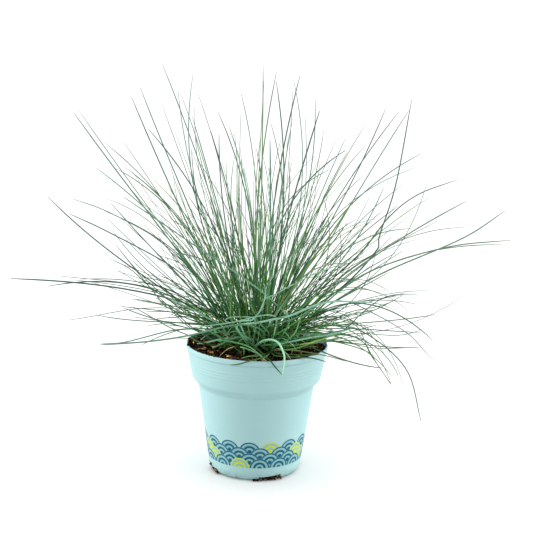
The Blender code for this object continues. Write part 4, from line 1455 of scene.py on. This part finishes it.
def drain_cutter():
    """Four ragged blocks that cut the drain slots through the bottom corner."""
    cutter = bmesh.new()
    middle = Vector((FOOT_RADIUS, 0.0, DRAIN_HEIGHT / 2 - 1.0))
    for number in range(DRAIN_COUNT):
        block = bmesh.ops.create_cube(cutter, size=1.0)["verts"]
        bmesh.ops.scale(cutter, verts=block, vec=(2 * DRAIN_DEPTH, DRAIN_WIDTH, DRAIN_HEIGHT + 2.0))
        bmesh.ops.rotate(cutter, verts=block, cent=(0, 0, 0), matrix=Matrix.Rotation(DRAIN_SLOPE, 3, 'X'))
        bmesh.ops.translate(cutter, verts=block, vec=middle)
        turn = Matrix.Rotation(DRAIN_TURN + number * tau / DRAIN_COUNT, 3, 'Z')
        bmesh.ops.rotate(cutter, verts=block, cent=(0, 0, 0), matrix=turn)
    return cutter


def object_from(name, builder):
    """A named object from a mesh that was built in millimetres."""
    mesh = bpy.data.meshes.new(name)
    bmesh.ops.scale(builder, vec=(MM, MM, MM), verts=builder.verts)
    builder.to_mesh(mesh)
    builder.free()
    made = bpy.data.objects.new(name, mesh)
    bpy.context.collection.objects.link(made)
    return made


def make_pot(finish):
    """The turned pot with its drain slots cut out."""
    solid = bmesh.new()
    points = [solid.verts.new((radius, 0.0, height)) for radius, height in pot_outline()]
    lines = [solid.edges.new(pair) for pair in zip(points, points[1:])]
    bmesh.ops.spin(solid, geom=points + lines, axis=(0, 0, 1), cent=(0, 0, 0),
                   steps=POT_SIDES, angle=tau, use_merge=True)
    bmesh.ops.remove_doubles(solid, verts=solid.verts, dist=0.001)
    bmesh.ops.recalc_face_normals(solid, faces=solid.faces)
    pot = object_from("nursery_pot", solid)
    cutter = object_from("drain_cutter", drain_cutter())
    slots = pot.modifiers.new("drain slots", 'BOOLEAN')
    slots.operation = 'DIFFERENCE'
    slots.object = cutter
    bpy.context.view_layer.update()
    shaped = bpy.data.meshes.new_from_object(pot.evaluated_get(bpy.context.evaluated_depsgraph_get()))
    pot.modifiers.clear()
    pot.data = shaped
    bpy.data.objects.remove(cutter)
    shaped.shade_smooth()
    shaped.set_sharp_from_angle(angle=radians(38.0))
    shaped.materials.clear()
    shaped.materials.append(finish)
    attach(pot, "root")
    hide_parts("pot")


# ---------------------------------------------------------------- stage

def make_camera():
    """The photograph's viewpoint: in front, a little above the leaves' middle, tipped down."""
    camera = bpy.data.objects.new("camera", bpy.data.cameras.new("camera"))
    bpy.context.collection.objects.link(camera)
    camera.data.sensor_width = 36.0
    camera.data.lens = LENS
    camera.data.clip_end = 200.0
    facing = Matrix.Rotation(-TURN, 4, 'Z') @ Matrix.Rotation(pi / 2 - TIP_DOWN, 4, 'X')
    facing = facing @ Matrix.Rotation(ROLL, 4, 'Z')
    camera.matrix_world = Matrix.Translation(CAMERA_PLACE) @ facing
    bpy.context.scene.camera = camera


def add_light(name, place, size, power, unlit=None):
    """A square soft light aimed at the middle of the plant, which leaves out what is in unlit."""
    light = bpy.data.lights.new(name, 'AREA')
    light.size = size
    light.energy = power
    lamp = bpy.data.objects.new(name, light)
    bpy.context.collection.objects.link(lamp)
    lamp.light_linking.receiver_collection = unlit
    aim = Vector((0.0, 0.0, 0.15)) - Vector(place)
    lamp.matrix_world = Matrix.Translation(place) @ aim.to_track_quat('-Z', 'Y').to_matrix().to_4x4()


def make_stage():
    """A plain white floor under even soft light."""
    bpy.ops.mesh.primitive_circle_add(vertices=96, radius=60.0, fill_type='NGON', location=(0, 0, -0.0002))
    floor = bpy.context.object
    floor.name = "floor"
    paper = Finish("floor paper")
    paper.set(Base_Color=(0.96, 0.96, 0.96), Roughness=0.9, Specular_IOR_Level=0.1)
    floor.data.materials.append(paper.material)
    world = bpy.data.worlds.new("studio")
    bpy.context.scene.world = world
    world.use_nodes = True
    world.node_tree.nodes["Background"].inputs[0].default_value = (1.0, 1.0, 1.0, 1.0)
    world.node_tree.nodes["Background"].inputs[1].default_value = 1.20
    unlit = bpy.data.collections.new("unlit floor")
    unlit.objects.link(floor)
    unlit.collection_objects[0].light_linking.link_state = 'EXCLUDE'
    add_light("left window", (-1.6, 0.25, 0.7), 1.0, 32.0, unlit)
    add_light("right window", (1.6, 0.3, 0.6), 1.0, 29.0, unlit)
    add_light("overhead", (0.0, 0.0, 1.7), 1.2, 5.0)
    bpy.context.scene.view_settings.view_transform = 'Standard'
    bpy.context.scene.view_settings.look = 'None'


def main():
    make_camera()
    make_stage()
    leaf = leaf_finish()
    peat = soil_finish("peat", (0.0025, 0.0016, 0.0011), (0.052, 0.029, 0.016), 420.0, 0.95)
    bark = soil_finish("bark", (0.055, 0.030, 0.015), (0.26, 0.155, 0.085))
    ochre = soil_finish("ochre wood", (0.20, 0.095, 0.018), (0.50, 0.27, 0.07))
    khaki = soil_finish("khaki bark", (0.035, 0.026, 0.015), (0.13, 0.105, 0.062))
    make_pot(pot_finish())
    make_soil_bed(peat)
    make_crumbs(peat, bark, ochre)
    make_drain_soil(peat, khaki)
    make_fibres(leaf)
    make_old_sheaths(leaf)
    make_dome(peat)
    make_tillers(leaf)


main()
